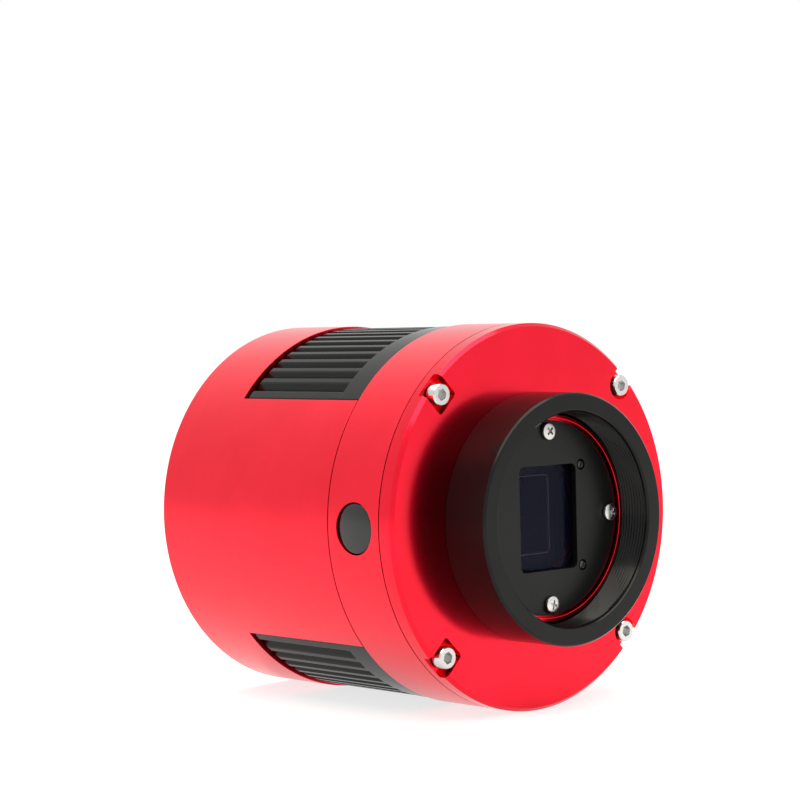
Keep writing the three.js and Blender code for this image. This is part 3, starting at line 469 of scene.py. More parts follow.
RING_HIGH = box("adapter_ring")[1]
PLATE_LOW, PLATE_HIGH = box("front_plate")
HOUSING_LOW, HOUSING_HIGH = box("mid_housing")
SHELL_LOW, SHELL_HIGH = box("rear_shell")
COVER_LOW, COVER_HIGH = box("window_cover")
GLASS_LOW, GLASS_HIGH = box("window_glass")
SINK_LOW, SINK_HIGH = box("heat_sink")
PLUG_LOW, PLUG_HIGH = box("desiccant_plug")

SEAM = 0.03  # how far the red rings and the heat sink reach into the gaps between them
BARREL_R = SHELL_HIGH.x
EDGE = 0.1
FINE_EDGE = 0.06
THREAD_PITCH = 0.75
THREAD_DEPTH = 0.36

PLATE_FRONT = 11.0
PLATE_BACK = PLATE_HIGH.y + SEAM
PLATE_CHAMFER = 0.7

RING_R = RING_HIGH.x
RING_BORE_R = 21.3
RING_GAP = 0.03
RING_BACK = PLATE_FRONT - RING_GAP
RING_CHAMFER = 0.4
RING_EASE = 0.08
RING_INNER_EASE = 0.06
RING_EASE_DIP = 0.03
RING_BACK_EDGE = 0.05
RING_BORE_MOUTH = 0.3
RING_THREAD_BACK = RING_BACK - 0.4
RING_THREAD_FRONT = RING_CHAMFER + 0.25
RING_THREAD_STEPS = 7

NOSE_R = 20.9
NOSE_BORE_R = 19.9
NOSE_FRONT = PLATE_LOW.y
NOSE_EDGE = 0.08
NOSE_MOUTH_R = NOSE_R - 0.24
NOSE_THREAD_R = NOSE_R - 0.16
NOSE_THREAD_DEPTH = THREAD_DEPTH * 0.8
NOSE_THREAD_END = PLATE_FRONT - 0.5
NOSE_NECK_R = NOSE_R - 0.4
NOSE_NECK_FRONT = PLATE_FRONT - 0.45
COVER_SEAT = COVER_HIGH.y + 0.3
WINDOW_POCKET_R = GLASS_HIGH.x + 0.4
WINDOW_LEDGE_R = GLASS_HIGH.x - 1.6
WINDOW_FLOOR = GLASS_HIGH.y + 1.4

SCREW_LOW, SCREW_HIGH = box("front_screw_2")
FRONT_OFFSET = (SCREW_LOW.x + SCREW_HIGH.x) / 2
FRONT_TOP = SCREW_LOW.y
SCREW_HOLE_R = 1.5
NOTCH_FLOOR = 13.1
NOTCH_HALF = 2.9
NOTCH_SQUARE_CORNER = 0.7
NOTCH_ROUND_CORNER = NOTCH_HALF - 0.01
NOTCH_REACH = 3 * NOTCH_HALF
NOTCH_STEPS = 16
CORNERS = [(-1, 1), (1, 1), (1, -1), (-1, -1)]
FRONT_PLACES = [(sx * FRONT_OFFSET, sz * FRONT_OFFSET) for sx, sz in CORNERS]


def adapter_ring():
    """The ring, chamfered at its front, threaded through its bore and close against the plate."""
    front_part = [
        (RING_BORE_R + RING_CHAMFER, 0.0), (RING_BORE_R + RING_CHAMFER + RING_INNER_EASE, 0.0),
        (RING_R - RING_CHAMFER - RING_EASE, 0.0), (RING_R - RING_CHAMFER, RING_EASE_DIP),
        (RING_R - RING_EASE_DIP, RING_CHAMFER), (RING_R, RING_CHAMFER + RING_EASE),
        (RING_R, RING_BACK - RING_BACK_EDGE), (RING_R - RING_BACK_EDGE, RING_BACK),
        (RING_BORE_R + RING_BORE_MOUTH, RING_BACK), (RING_BORE_R, RING_BACK - RING_BORE_MOUTH),
    ]
    points, rows = thread_rows(
        RING_BORE_R, RING_THREAD_BACK, RING_THREAD_FRONT, THREAD_PITCH, len(front_part), RING_THREAD_STEPS
    )
    mouth_r = RING_BORE_R + RING_CHAMFER - RING_BACK_EDGE
    closing = [(RING_BORE_R, RING_CHAMFER), (mouth_r, RING_BACK_EDGE)]
    profile = front_part + points + closing
    made = lathe("adapter_ring_threaded", profile, ROUND, helix(rows, THREAD_PITCH, THREAD_DEPTH))
    return piece(made, ADAPTER, "black_anodised", "black_ring", replaces=["adapter_ring"], crease=50.0)


def notch(sx, sz):
    """A pocket about a front screw that is open to the rim; the pair at -X has square inner corners."""
    half = NOTCH_HALF
    corner = NOTCH_SQUARE_CORNER if sx < 0 else NOTCH_ROUND_CORNER
    outline = [(NOTCH_REACH, -half), (NOTCH_REACH, half)]
    outline += arc(corner, -half + corner, half - corner, 90, 180, NOTCH_STEPS)
    outline += arc(corner, -half + corner, -half + corner, 180, 270, NOTCH_STEPS)
    made = prism("cutter", outline, PLATE_FRONT - 2 * CLEAR, NOTCH_FLOOR)
    turned(made, -math.degrees(math.atan2(sz, sx)), "Y")
    return shifted(made, sx * FRONT_OFFSET, 0, sz * FRONT_OFFSET)


def front_plate():
    """The plate with its threaded nose, window pocket and four notches."""
    start = [(NOSE_BORE_R + NOSE_EDGE, NOSE_FRONT), (NOSE_MOUTH_R, NOSE_FRONT)]
    points, rows = thread_rows(NOSE_THREAD_R, NOSE_FRONT + 0.1, NOSE_THREAD_END, THREAD_PITCH, len(start))
    profile = start + points + [
        (NOSE_NECK_R, NOSE_NECK_FRONT), (NOSE_NECK_R, PLATE_FRONT),
        (BARREL_R - PLATE_CHAMFER, PLATE_FRONT), (BARREL_R, PLATE_FRONT + PLATE_CHAMFER),
        (BARREL_R, PLATE_BACK), (WINDOW_LEDGE_R, PLATE_BACK), (WINDOW_LEDGE_R, WINDOW_FLOOR),
        (WINDOW_POCKET_R, WINDOW_FLOOR), (WINDOW_POCKET_R, COVER_SEAT), (NOSE_BORE_R, COVER_SEAT),
        (NOSE_BORE_R, NOSE_FRONT + NOSE_EDGE),
    ]
    made = lathe("front_plate_turned", profile, BARREL_STEPS, helix(rows, THREAD_PITCH, NOSE_THREAD_DEPTH))
    cutters = [notch(sx, sz) for sx, sz in CORNERS]
    cutters += rods(SCREW_HOLE_R, FRONT_PLACES, PLATE_FRONT, PLATE_BACK + CLEAR)
    carve(made, *cutters)
    soften(made, FINE_EDGE, angle=40.0)
    return piece(made, BODY, "red_anodised", "red_face", replaces=["front_plate"])


adapter_ring()
front_plate()


FRONT_SCREW = {"head_r": 2.2, "head_h": 2.3, "flats": 2.1, "shank_r": 1.2, "shank_l": 7.0}
BACK_SCREW = {"head_r": 2.2, "head_h": 1.5, "flats": 1.9, "shank_r": 1.2, "shank_l": 6.0}
FAN_SCREW = {"head_r": 2.4, "head_h": 1.1, "flats": 1.9, "shank_r": 1.3, "shank_l": 12.5}
HEX_TURN = 15
HEX_DEPTH_SHARE = 0.58


def hex_socket(across, depth):
    """A hexagonal cutter that reaches a depth behind y = 0."""
    outline = circle(across / math.sqrt(3), count=6, start=math.radians(HEX_TURN))
    return prism("cutter", outline, -CLEAR, depth)


def socket_screw(name, node, x, z, top, side, head_r, head_h, flats, shank_r, shank_l):
    """A socket-head screw along Y; side is 1 with its head at the low-Y end, -1 at the high-Y end."""
    rim, rim_run, ease, foot = 0.22, 0.12, 0.04, 0.1
    point_length, point_step = 0.4, 0.35
    profile = [
        (0.0, 0.0), (head_r - rim - foot, 0.0), (head_r - rim + ease, ease), (head_r - 0.05, rim),
        (head_r, rim + rim_run), (head_r, head_h - foot), (head_r - foot, head_h),
        (shank_r, head_h), (shank_r, head_h + shank_l - point_length),
        (shank_r - point_step, head_h + shank_l), (0.0, head_h + shank_l),
    ]
    made = lathe(name, profile, FINE)
    carve(made, hex_socket(flats, HEX_DEPTH_SHARE * head_h))
    soften(made, 0.05, 1, angle=50.0)
    if side < 0:
        turned(made, 180, "X")
    shifted(made, x, top, z)
    return piece(made, BODY, "steel_screws", replaces=[node])


def socket_screws(kind, middles, top, side, sizes):
    """The front, back or fan screws, which take the places of the CAD's."""
    for index, (x, z) in enumerate(middles, 1):
        socket_screw(f"{kind}_cap_screw_{index}", f"{kind}_screw_{index}", x, z, top, side, **sizes)


socket_screws("front", FRONT_PLACES, FRONT_TOP, 1, FRONT_SCREW)


COVER_OPENING = {"width": 16, "height": 21, "radius": 1.2}
COVER_HOLE_R = 1.1
COVER_EDGE = 0.12


def window_cover():
    """The black disc round the sensor's opening."""
    front, back = COVER_LOW.y, COVER_HIGH.y
    made = prism("window_cover_plate", circle(COVER_HIGH.x, count=ROUND), front, back)
    opening = through(rounded_rectangle(**COVER_OPENING), front, back)
    holes = [
        through(circle(COVER_HOLE_R, x, z, SMALL), front, back)
        for x, z in places("cover_screw", 4) + places("clamp_screw", 2)
    ]
    carve(made, opening, *holes)
    soften(made, COVER_EDGE)
    return piece(made, BODY, "black_anodised", replaces=["window_cover"])


CROSS_WIDTH = 2.3
CROSS_DEPTH = 0.74
CROSS_ARM_HALF = 0.27
CROSS_END_SHARE = 0.9
CROSS_FLOOR_SHARE = 0.72


def cross_recess(top, angle):
    """A cross cutter whose arms narrow towards the floor."""
    arm, half = CROSS_WIDTH / 2, CROSS_ARM_HALF
    end_half = half * CROSS_END_SHARE
    outline = []
    for quarter in range(4):
        a = math.radians(90 * quarter + angle)
        for out, across in [(half, -half), (arm, -end_half), (arm, end_half)]:
            x = out * math.cos(a) - across * math.sin(a)
            outline.append((x, out * math.sin(a) + across * math.cos(a)))
    cutter = prism("cutter", outline, top - CLEAR, top + CROSS_DEPTH)
    for corner in cutter.data.vertices:
        if corner.co.y > top:
            corner.co.x *= CROSS_FLOOR_SHARE
            corner.co.z *= CROSS_FLOOR_SHARE
    return cutter


DOME_RISE = 0.22
DOME_STEPS = 10
PAN_SHANK_R = 0.8
PAN_FOOT = 0.06


def cover_screw(index):
    """A pan-head screw whose cross recess is turned further on each."""
    low, high = box(f"cover_screw_{index}")
    x, z = middle(low, high)
    top, radius, seat = low.y, (high.x - low.x) / 2, COVER_LOW.y - 0.2
    turns = [math.radians(90 * i / DOME_STEPS) for i in range(DOME_STEPS + 1)]
    dome = [(radius * math.sin(a), top + DOME_RISE * (1 - math.cos(a))) for a in turns]
    profile = dome + [
        (radius, seat - PAN_FOOT), (radius - PAN_FOOT, seat),
        (PAN_SHANK_R, seat), (PAN_SHANK_R, high.y), (0.0, high.y),
    ]
    made = lathe(f"cover_pan_screw_{index}", profile, FINE)
    carve(made, cross_recess(top, 30 + 15 * index))
    soften(made, 0.035, 1, angle=45.0)
    shifted(made, x, 0, z)
    return piece(made, BODY, "steel_screws", replaces=[f"cover_screw_{index}"])


CLAMP_SLOT = 0.3
SLOT_DEPTH = 0.4
CLAMP_CHAMFER = 0.12


def clamp_screw(index):
    """A small slotted screw."""
    low, high = box(f"clamp_screw_{index}")
    x, z = middle(low, high)
    radius = (high.x - low.x) / 2
    profile = [
        (0.0, low.y), (radius - CLAMP_CHAMFER, low.y), (radius, low.y + CLAMP_CHAMFER),
        (radius, high.y), (0.0, high.y),
    ]
    made = lathe(f"clamp_slot_screw_{index}", profile, SMALL)
    outline = rounded_rectangle(CLAMP_SLOT, 2 * radius + 0.4, 0.05)
    slot_cutter = prism("cutter", outline, low.y - CLEAR, low.y + SLOT_DEPTH)
    carve(made, turned(slot_cutter, 20 * index, "Y"))
    soften(made, 0.03, 1, angle=45.0)
    shifted(made, x, 0, z)
    return piece(made, BODY, "steel_screws", "grey_screws", replaces=[f"clamp_screw_{index}"])


window_cover()
for index in range(1, 5):
    cover_screw(index)
for index in range(1, 3):
    clamp_screw(index)


WINDOW_CHAMFER = 0.25
LID_CORNER = 0.8
SEAM_BEAD = 0.26


def window_glass():
    """The protective window, a disc with a chamfer on both faces."""
    radius, front, back = GLASS_HIGH.x, GLASS_LOW.y, GLASS_HIGH.y
    made = lathe("window_glass_disc", [
        (0.0, front), (radius - WINDOW_CHAMFER, front), (radius, front + WINDOW_CHAMFER),
        (radius, back - WINDOW_CHAMFER), (radius - WINDOW_CHAMFER, back), (0.0, back),
    ])
    return piece(made, BODY, "window", replaces=["window_glass"])


def sensor_lid():
    """The sensor's glass lid, which fills the CAD node's box."""
    low, high = box("sensor_lid")
    outline = rounded_rectangle(high.x - low.x, high.z - low.z, LID_CORNER, *middle(low, high))
    made = prism("sensor_lid_glass", outline, low.y, high.y)
    soften(made, EDGE)
    return piece(made, BODY, "window", replaces=["sensor_lid"])


def lid_seam():
    """The pale bead of glue round the lid's edge."""
    low, high = box("sensor_lid")
    width, height = high.x - low.x, high.z - low.z
    outside = rounded_rectangle(width + SEAM_BEAD, height + SEAM_BEAD, 1.2)
    inside = rounded_rectangle(width - SEAM_BEAD, height - SEAM_BEAD, 1.0)
    made = prism("sensor_lid_seam", outside, low.y + 0.02, high.y - 0.05)
    carve(made, through(inside, low.y, high.y))
    soften(made, 0.05, 1)
    return piece(made, BODY, "ceramic", "lid_seam")


window_glass()
sensor_lid()
lid_seam()


# ---------- sensor chamber

CHAMBER_R = 27.5
GROOVE_INNER_R = 28.6
GROOVE_OUTER_R = 30.6
GROOVE_DEPTH = 1.7
PLUG_Y = (PLUG_LOW.y + PLUG_HIGH.y) / 2
PLUG_FACE = PLUG_LOW.x - 0.35
PLUG_R = (PLUG_HIGH.y - PLUG_LOW.y) / 2 + 0.2
MOUTH_R = 5.15
MOUTH_FLOOR = -34.3
MOUTH_STEPS = 96
BORE_R = 4.4


def cross_lathe(name, profile, y, count=FINE, ripple=None):
    """A closed (radius, x) profile turned about a line along X at height y of the axis."""
    made = lathe(name, profile, count, ripple)
    turned(made, 90, "Z")
    moved(made, Matrix.Scale(-1, 4, (1, 0, 0)))
    return shifted(made, 0, y, 0)


def mid_housing():
    """The sensor chamber's wall, with a seal groove in both faces and the plug's mouth at -X."""
    front, back = HOUSING_LOW.y - SEAM, HOUSING_HIGH.y + SEAM
    made = lathe("mid_housing_turned", [
        (CHAMBER_R, front), (GROOVE_INNER_R, front), (GROOVE_INNER_R, front + GROOVE_DEPTH),
        (GROOVE_OUTER_R, front + GROOVE_DEPTH), (GROOVE_OUTER_R, front), (BARREL_R, front),
        (BARREL_R, back), (GROOVE_OUTER_R, back), (GROOVE_OUTER_R, back - GROOVE_DEPTH),
        (GROOVE_INNER_R, back - GROOVE_DEPTH), (GROOVE_INNER_R, back), (CHAMBER_R, back),
    ], BARREL_STEPS)
    outside, inside = -BARREL_R - 2 * CLEAR, -CHAMBER_R + 2 * CLEAR
    mouth_profile = [(0, outside), (MOUTH_R, outside), (MOUTH_R, MOUTH_FLOOR), (0, MOUTH_FLOOR)]
    bore_profile = [(0, -BARREL_R), (BORE_R, -BARREL_R), (BORE_R, inside), (0, inside)]
    mouth = cross_lathe("cutter", mouth_profile, PLUG_Y, MOUTH_STEPS)
    bore = cross_lathe("cutter", bore_profile, PLUG_Y)
    carve(made, mouth, bore)
    soften(made, FINE_EDGE)
    return piece(made, BODY, "red_anodised", replaces=["mid_housing"])


PLUG_RISE = 0.25
PLUG_FACE_STEPS = 12
PLUG_LIP = 0.35
PLUG_HEAD_BACK = -36.0
PLUG_NECK_R = 3.5
PLUG_NECK_BACK = -34.0
PLUG_THREAD_R = 4.0
PLUG_THREAD_ROOT_R = 3.8
PLUG_THREAD_START = -33.7
PLUG_THREAD_END = -28.3
PLUG_THREAD_PITCH = 1.0
PLUG_THREAD_STEPS = 8
PLUG_BACK = -28.0
TABLET_POCKET_R = 3.2
TABLET_POCKET_FLOOR = -33.0


def desiccant_plug():
    """A plug with a faintly domed face and a rounded lip, threaded behind its neck."""
    r = PLUG_R
    face = [(0.0, PLUG_FACE)]
    for i in range(1, PLUG_FACE_STEPS + 1):
        radius = (r - PLUG_LIP) * i / PLUG_FACE_STEPS
        face.append((radius, PLUG_FACE + PLUG_RISE * (radius / r) ** 2))
    lip = face[-1][1]
    head = face + [
        (r - 0.17, lip + 0.05), (r - 0.05, lip + 0.15), (r, lip + 0.32), (r, PLUG_FACE + 2.2),
        (r - 0.15, PLUG_HEAD_BACK), (PLUG_NECK_R, PLUG_HEAD_BACK), (PLUG_NECK_R, PLUG_NECK_BACK),
        (PLUG_THREAD_ROOT_R, PLUG_NECK_BACK),
    ]
    points, rows = thread_rows(
        PLUG_THREAD_R, PLUG_THREAD_START, PLUG_THREAD_END, PLUG_THREAD_PITCH, len(head), PLUG_THREAD_STEPS
    )
    profile = head + points + [
        (PLUG_THREAD_ROOT_R, PLUG_BACK), (TABLET_POCKET_R, PLUG_BACK),
        (TABLET_POCKET_R, TABLET_POCKET_FLOOR), (0.0, TABLET_POCKET_FLOOR),
    ]
    thread = helix(rows, PLUG_THREAD_PITCH, THREAD_DEPTH)
    made = cross_lathe("desiccant_plug_threaded", profile, PLUG_Y, ROUND // 2, thread)
    return piece(made, HOLDER, "plug_plastic", replaces=["desiccant_plug"], crease=45.0)


mid_housing()
desiccant_plug()

# ---------- heat sink

SINK_R = SINK_HIGH.z
SINK_COVERED_R = SINK_HIGH.x
SINK_OPEN_HALF = 50.5
SINK_FRONT = SHELL_LOW.y - SEAM
SINK_BACK = 65.3
SINK_BOSS = 32
SLOT_FLOOR = 36.3
SLOT_PITCH = 2.5
SLOT_WIDTH = 1.6
FIN_PAIRS = 11
FIN_STEP = 0.06
FIN_CORNER = 1.2
FIN_CORNER_STEPS = 6
WEB = 3.0
LEDGE_R = 36.85
LEDGE_INNER_R = 33.5
LEDGE_START, LEDGE_END = 57, 123  # degrees from the top
LEDGE_BACK = box("main_board")[0].y - 0.3
PILLAR_R = 2.8
PILLAR_BACK = SINK_HIGH.y
PILLAR_HOLE_FLOOR = 73.7
PILLAR_PLACES = places("back_screw", 4)
SINK_PLACES = places("sink_screw", 4)
SINK_SEAT = 33.0
SINK_POCKET_R = 3.0
SINK_HOLE_R = 1.7
STRIP_SLOT_WIDTH = 1.3
STRIP_X = 20.0
STRIP_SLOT_HEIGHTS = {STRIP_X: 13.2, -STRIP_X: 3.8}


def fin(x):
    """An upright fin whose two slanted tips lie on the sink's cylinder, with round rear corners."""
    half = (SLOT_PITCH - SLOT_WIDTH) / 2
    turns = [math.radians(90 * i / FIN_CORNER_STEPS) for i in range(FIN_CORNER_STEPS + 1)]
    corners, count = [], 0
    for side in (x - half, x + half):
        tip = math.sqrt((SINK_R - FIN_STEP) ** 2 - side ** 2)
        top = [(tip, SLOT_FLOOR - CLEAR)]
        for turn in turns:
            height = tip - FIN_CORNER * (1 - math.cos(turn))
            top.append((height, SINK_BACK - FIN_CORNER * (1 - math.sin(turn))))
        loop = top + [(-z, y) for z, y in reversed(top)]
        count = len(loop)
        corners += [(side, y, z) for z, y in loop]
    faces = [list(range(count)), list(range(2 * count - 1, count - 1, -1))]
    faces += [[i, (i + 1) % count, count + (i + 1) % count, count + i] for i in range(count)]
    return soften(mesh_object("fin", corners, faces), 0.12, 3, angle=35.0)


def sink_side(turn):
    """A solid side of the sink: a rail in each vent and a lower face under the shell."""
    flat_x = FIN_PAIRS * SLOT_PITCH + SLOT_WIDTH / 2
    outer, covered = SINK_R - FIN_STEP, SINK_COVERED_R - FIN_STEP
    start = math.degrees(math.asin(flat_x / outer))
    outline = arc(outer, 0, 0, 90 - start, 90 - SINK_OPEN_HALF, 6)
    outline += arc(covered, 0, 0, 90 - SINK_OPEN_HALF, SINK_OPEN_HALF - 90, 48)
    outline += arc(outer, 0, 0, SINK_OPEN_HALF - 90, start - 90, 6)
    made = soften(prism("side", outline, SLOT_FLOOR - CLEAR, SINK_BACK), 0.4, 4, angle=40.0)
    return turned(made, turn, "Y")


def side_relief(turn):
    """A cutter that takes a side of the base down to the radius that fits under the shell."""
    outline = sector(BARREL_R + CLEAR, SINK_COVERED_R, turn + SINK_OPEN_HALF, turn + 180 - SINK_OPEN_HALF)
    return prism("cutter", outline, SINK_FRONT - CLEAR, SLOT_FLOOR + CLEAR)


def sink_web():
    """The web that joins the fins halfway, open where the two cable strips pass."""
    width = 2 * FIN_PAIRS * SLOT_PITCH + 4
    web = prism("web", rounded_rectangle(width, WEB, 0.1), SLOT_FLOOR - CLEAR, SINK_BACK - 0.2)
    gaps = [
        prism("cutter", rounded_rectangle(SLOT_WIDTH + 0.3, WEB + 2 * CLEAR, 0.1, x, 0),
              SLOT_FLOOR - 2 * CLEAR, SINK_BACK + CLEAR)
        for x in STRIP_SLOT_HEIGHTS
    ]
    return carve(web, *gaps)


def ledge(turn):
    """A ledge that the main board rests on."""
    outline = sector(LEDGE_R, LEDGE_INNER_R, turn + LEDGE_START, turn + LEDGE_END)
    return prism("ledge", outline, SINK_BACK - CLEAR, LEDGE_BACK)


def heat_sink():
    """The base with its boss, fins, web, sides, board ledges and back-plate pillars."""
    base_profile = [(0, SINK_FRONT), (SINK_R, SINK_FRONT), (SINK_R, SLOT_FLOOR), (0, SLOT_FLOOR)]
    base = lathe("heat_sink_finned", base_profile)
    carve(base, *[side_relief(turn) for turn in (0, 180)])
    soften(base, 0.25, 3, angle=40.0)
    boss = prism("boss", rounded_rectangle(SINK_BOSS, SINK_BOSS, 1), SINK_LOW.y, SINK_FRONT + CLEAR)
    fins = [fin((i + 0.5) * SLOT_PITCH) for i in range(-FIN_PAIRS, FIN_PAIRS)]
    sides = [sink_side(turn) for turn in (0, 180)]
    web = sink_web()
    ledges = [ledge(turn) for turn in (0, 180)]
    pillars = rods(PILLAR_R, PILLAR_PLACES, SINK_BACK - CLEAR, PILLAR_BACK)
    weld(base, boss, web, *sides, *fins, *ledges, *pillars)
    cutters = rods(SCREW_HOLE_R, PILLAR_PLACES, PILLAR_HOLE_FLOOR, PILLAR_BACK + CLEAR)
    cutters += rods(SINK_POCKET_R, SINK_PLACES, SINK_SEAT, LEDGE_BACK + CLEAR)
    cutters += rods(SINK_HOLE_R, SINK_PLACES, SINK_FRONT - CLEAR, SINK_SEAT + CLEAR)
    for x, height in STRIP_SLOT_HEIGHTS.items():
        outline = rounded_rectangle(STRIP_SLOT_WIDTH, height, 0.3, x, 0)
        cutters.append(through(outline, SINK_LOW.y, SLOT_FLOOR))
    carve(base, *cutters)
    return piece(base, BODY, "black_anodised", "black_sink", replaces=["heat_sink"])


heat_sink()

# ---------- rear shell

SHELL_BORE_R = 37.4
SHELL_CHAMFER = 0.35
VENT_HALF = 51.0
VENT_BACK = 66.0
VENT_INNER_R = 20


def vent(turn):
    """A cutter for a vent that is open at the shell's front end."""
    outline = sector(BARREL_R + 3 * CLEAR, VENT_INNER_R, turn - VENT_HALF, turn + VENT_HALF, 40)
    return prism("cutter", outline, SHELL_LOW.y - SEAM - CLEAR, VENT_BACK)


def rear_shell():
    """The outer tube with a vent at the top and one at the bottom."""
    front, back = SHELL_LOW.y - SEAM, SHELL_HIGH.y
    made = lathe("rear_shell_vented", [
        (SHELL_BORE_R, front), (BARREL_R, front), (BARREL_R, back - SHELL_CHAMFER),
        (BARREL_R - SHELL_CHAMFER, back), (SHELL_BORE_R, back),
    ], BARREL_STEPS)
    carve(made, *[vent(turn) for turn in (0, 180)])
    soften(made, EDGE)
    return piece(made, BODY, "red_anodised", replaces=["rear_shell"])


rear_shell()

# ---------- rear end

END_LOW, END_HIGH = box("back_plate")
FAN_LOW, FAN_HIGH = box("fan_frame")
GUARD_LOW, GUARD_HIGH = box("fan_guard")
ROTOR_LOW, ROTOR_HIGH = box("fan_rotor")
DUCT_R = 18.6
DUCT_STEPS = 128
GUARD_STEPS = 96
FAN_OFFSET = 16.0
FAN_PLACES = [(sx * FAN_OFFSET, sz * FAN_OFFSET) for sx, sz in CORNERS]
FAN_HOLE_R = 1.7
FAN_FRAME_HOLE_R = 1.6
USB_NODES = ("usb_a_socket_1", "usb_a_socket_2", "usb_b_socket")
POWER_X = 29.3
POWER_HOLE_R = 4.55
END_CHAMFER = 0.3
HEAD_POCKET_R = 2.5
HEAD_POCKET_DEPTH = 1.8
SOCKET_GAP = 0.7


def socket_opening(node, front, back):
    """A cutter for a socket's opening in the back plate."""
    low, high = box(node)
    width, height = high.x - low.x + SOCKET_GAP, high.z - low.z + SOCKET_GAP
    return through(rounded_rectangle(width, height, 0.5, *middle(low, high)), front, back)


def back_plate():
    """The rear plate with the fan's duct, the sockets' openings and sunk screw seats."""
    front, back, radius = END_LOW.y, END_HIGH.y, END_HIGH.x
    made = lathe("back_plate_turned", [
        (0, front), (radius, front), (radius, back - END_CHAMFER), (radius - END_CHAMFER, back),
        (0, back),
    ])
    cutters = [through(circle(DUCT_R, count=DUCT_STEPS), front, back)]
    cutters += rods(FAN_HOLE_R, FAN_PLACES, front - CLEAR, back + CLEAR)
    for place in PILLAR_PLACES:
        cutters += rods(SCREW_HOLE_R, [place], front - CLEAR, back + CLEAR)
        cutters += rods(HEAD_POCKET_R, [place], back - HEAD_POCKET_DEPTH, back + CLEAR)
    cutters += [socket_opening(node, front, back) for node in USB_NODES]
    cutters.append(through(circle(POWER_HOLE_R, POWER_X, 0, FINE), front, back))
    carve(made, *cutters)
    soften(made, EDGE)
    return piece(made, BODY, "red_anodised", "red_face", replaces=["back_plate"])


GUARD_CORNER = 4.5
GUARD_RINGS = (8.4, 13.0)
GUARD_RING_WIDTH = 1.2
GUARD_MIDDLE_R = 4.6
GUARD_RIB = 1.6
GUARD_SEAT_R = 2.7


def guard_ring(radius):
    """One of the guard's round bars."""
    front, back, outer = GUARD_LOW.y, GUARD_HIGH.y, radius + GUARD_RING_WIDTH
    return lathe("ring", [(radius, front), (outer, front), (outer, back), (radius, back)], GUARD_STEPS)


def fan_guard():
    """A moulded grille: a square frame, two rings, a middle and four ribs."""
    front, back, half = GUARD_LOW.y, GUARD_HIGH.y, GUARD_HIGH.x
    outline = rounded_rectangle(2 * half, 2 * half, GUARD_CORNER, count=12)
    made = prism("fan_guard_grille", outline, front, back)
    cutters = [through(circle(DUCT_R, count=GUARD_STEPS), front, back)]
    cutters += rods(FAN_HOLE_R, FAN_PLACES, front - CLEAR, back + CLEAR)
    cutters += rods(GUARD_SEAT_R, FAN_PLACES, back - CLEAR, back + CLEAR)
    carve(made, *cutters)
    rings = [guard_ring(radius) for radius in GUARD_RINGS]
    disc = lathe("middle", [
        (0, front), (GUARD_MIDDLE_R, front), (GUARD_MIDDLE_R, back - END_CHAMFER),
        (GUARD_MIDDLE_R - END_CHAMFER, back), (0, back),
    ], GUARD_STEPS)
    rib_outline = rounded_rectangle(2 * DUCT_R + 2 * CLEAR, GUARD_RIB, 0.2)
    ribs = [turned(prism("rib", rib_outline, front, back), a, "Y") for a in (45, 135)]
    weld(made, disc, *rings, *ribs)
    soften(made, 0.2, 2)
    return piece(made, BODY, "black_plastic", replaces=["fan_guard"])


FAN_FRAME_SIDE = 40
FAN_FRAME_CORNER = 3
FAN_SEAT_R = 9.5
FAN_SEAT_DEPTH = 1.6
FAN_STRUT = 2
TUBE_INNER_R = 2.7
TUBE_R = 3.6
TUBE_FRONT = 73


def fan_frame():
    """The fan's square frame, whose four struts carry the motor's seat and the bearing's tube."""
    front, back = FAN_LOW.y, FAN_HIGH.y
    seat_front = back - FAN_SEAT_DEPTH
    outline = rounded_rectangle(FAN_FRAME_SIDE, FAN_FRAME_SIDE, FAN_FRAME_CORNER)
    made = prism("fan_frame_ducted", outline, front, back)
    cutters = [through(circle(DUCT_R, count=DUCT_STEPS), front, back)]
    cutters += rods(FAN_FRAME_HOLE_R, FAN_PLACES, front - CLEAR, back + CLEAR)
    carve(made, *cutters)
    seat = prism("seat", circle(FAN_SEAT_R, count=GUARD_STEPS), seat_front, back)
    strut_outline = rounded_rectangle(2 * DUCT_R + CLEAR, FAN_STRUT, 0.2)
    struts = [turned(prism("strut", strut_outline, seat_front, back), a, "Y") for a in (0, 90)]
    tube_back = seat_front + 0.5
    tube_profile = [
        (TUBE_INNER_R, TUBE_FRONT), (TUBE_R, TUBE_FRONT), (TUBE_R, tube_back),
        (TUBE_INNER_R, tube_back),
    ]
    weld(made, seat, *struts, lathe("tube", tube_profile, SMALL))
    soften(made, 0.25, 2)
    return piece(made, BODY, "black_plastic", replaces=["fan_frame"])


BLADES = 7
BLADE_ROOT_R = 9.0
BLADE_STATIONS = 10
BLADE_AROUND = 12
BLADE_PITCH = 56
BLADE_TWIST = 14
BLADE_SWEEP = 6
BLADE_CHORD = 4.6
BLADE_CHORD_GROWTH = 1.2
BLADE_HALF_THICKNESS = 0.5
BLADE_THINNING = 0.12
BLADE_CAMBER = 0.5


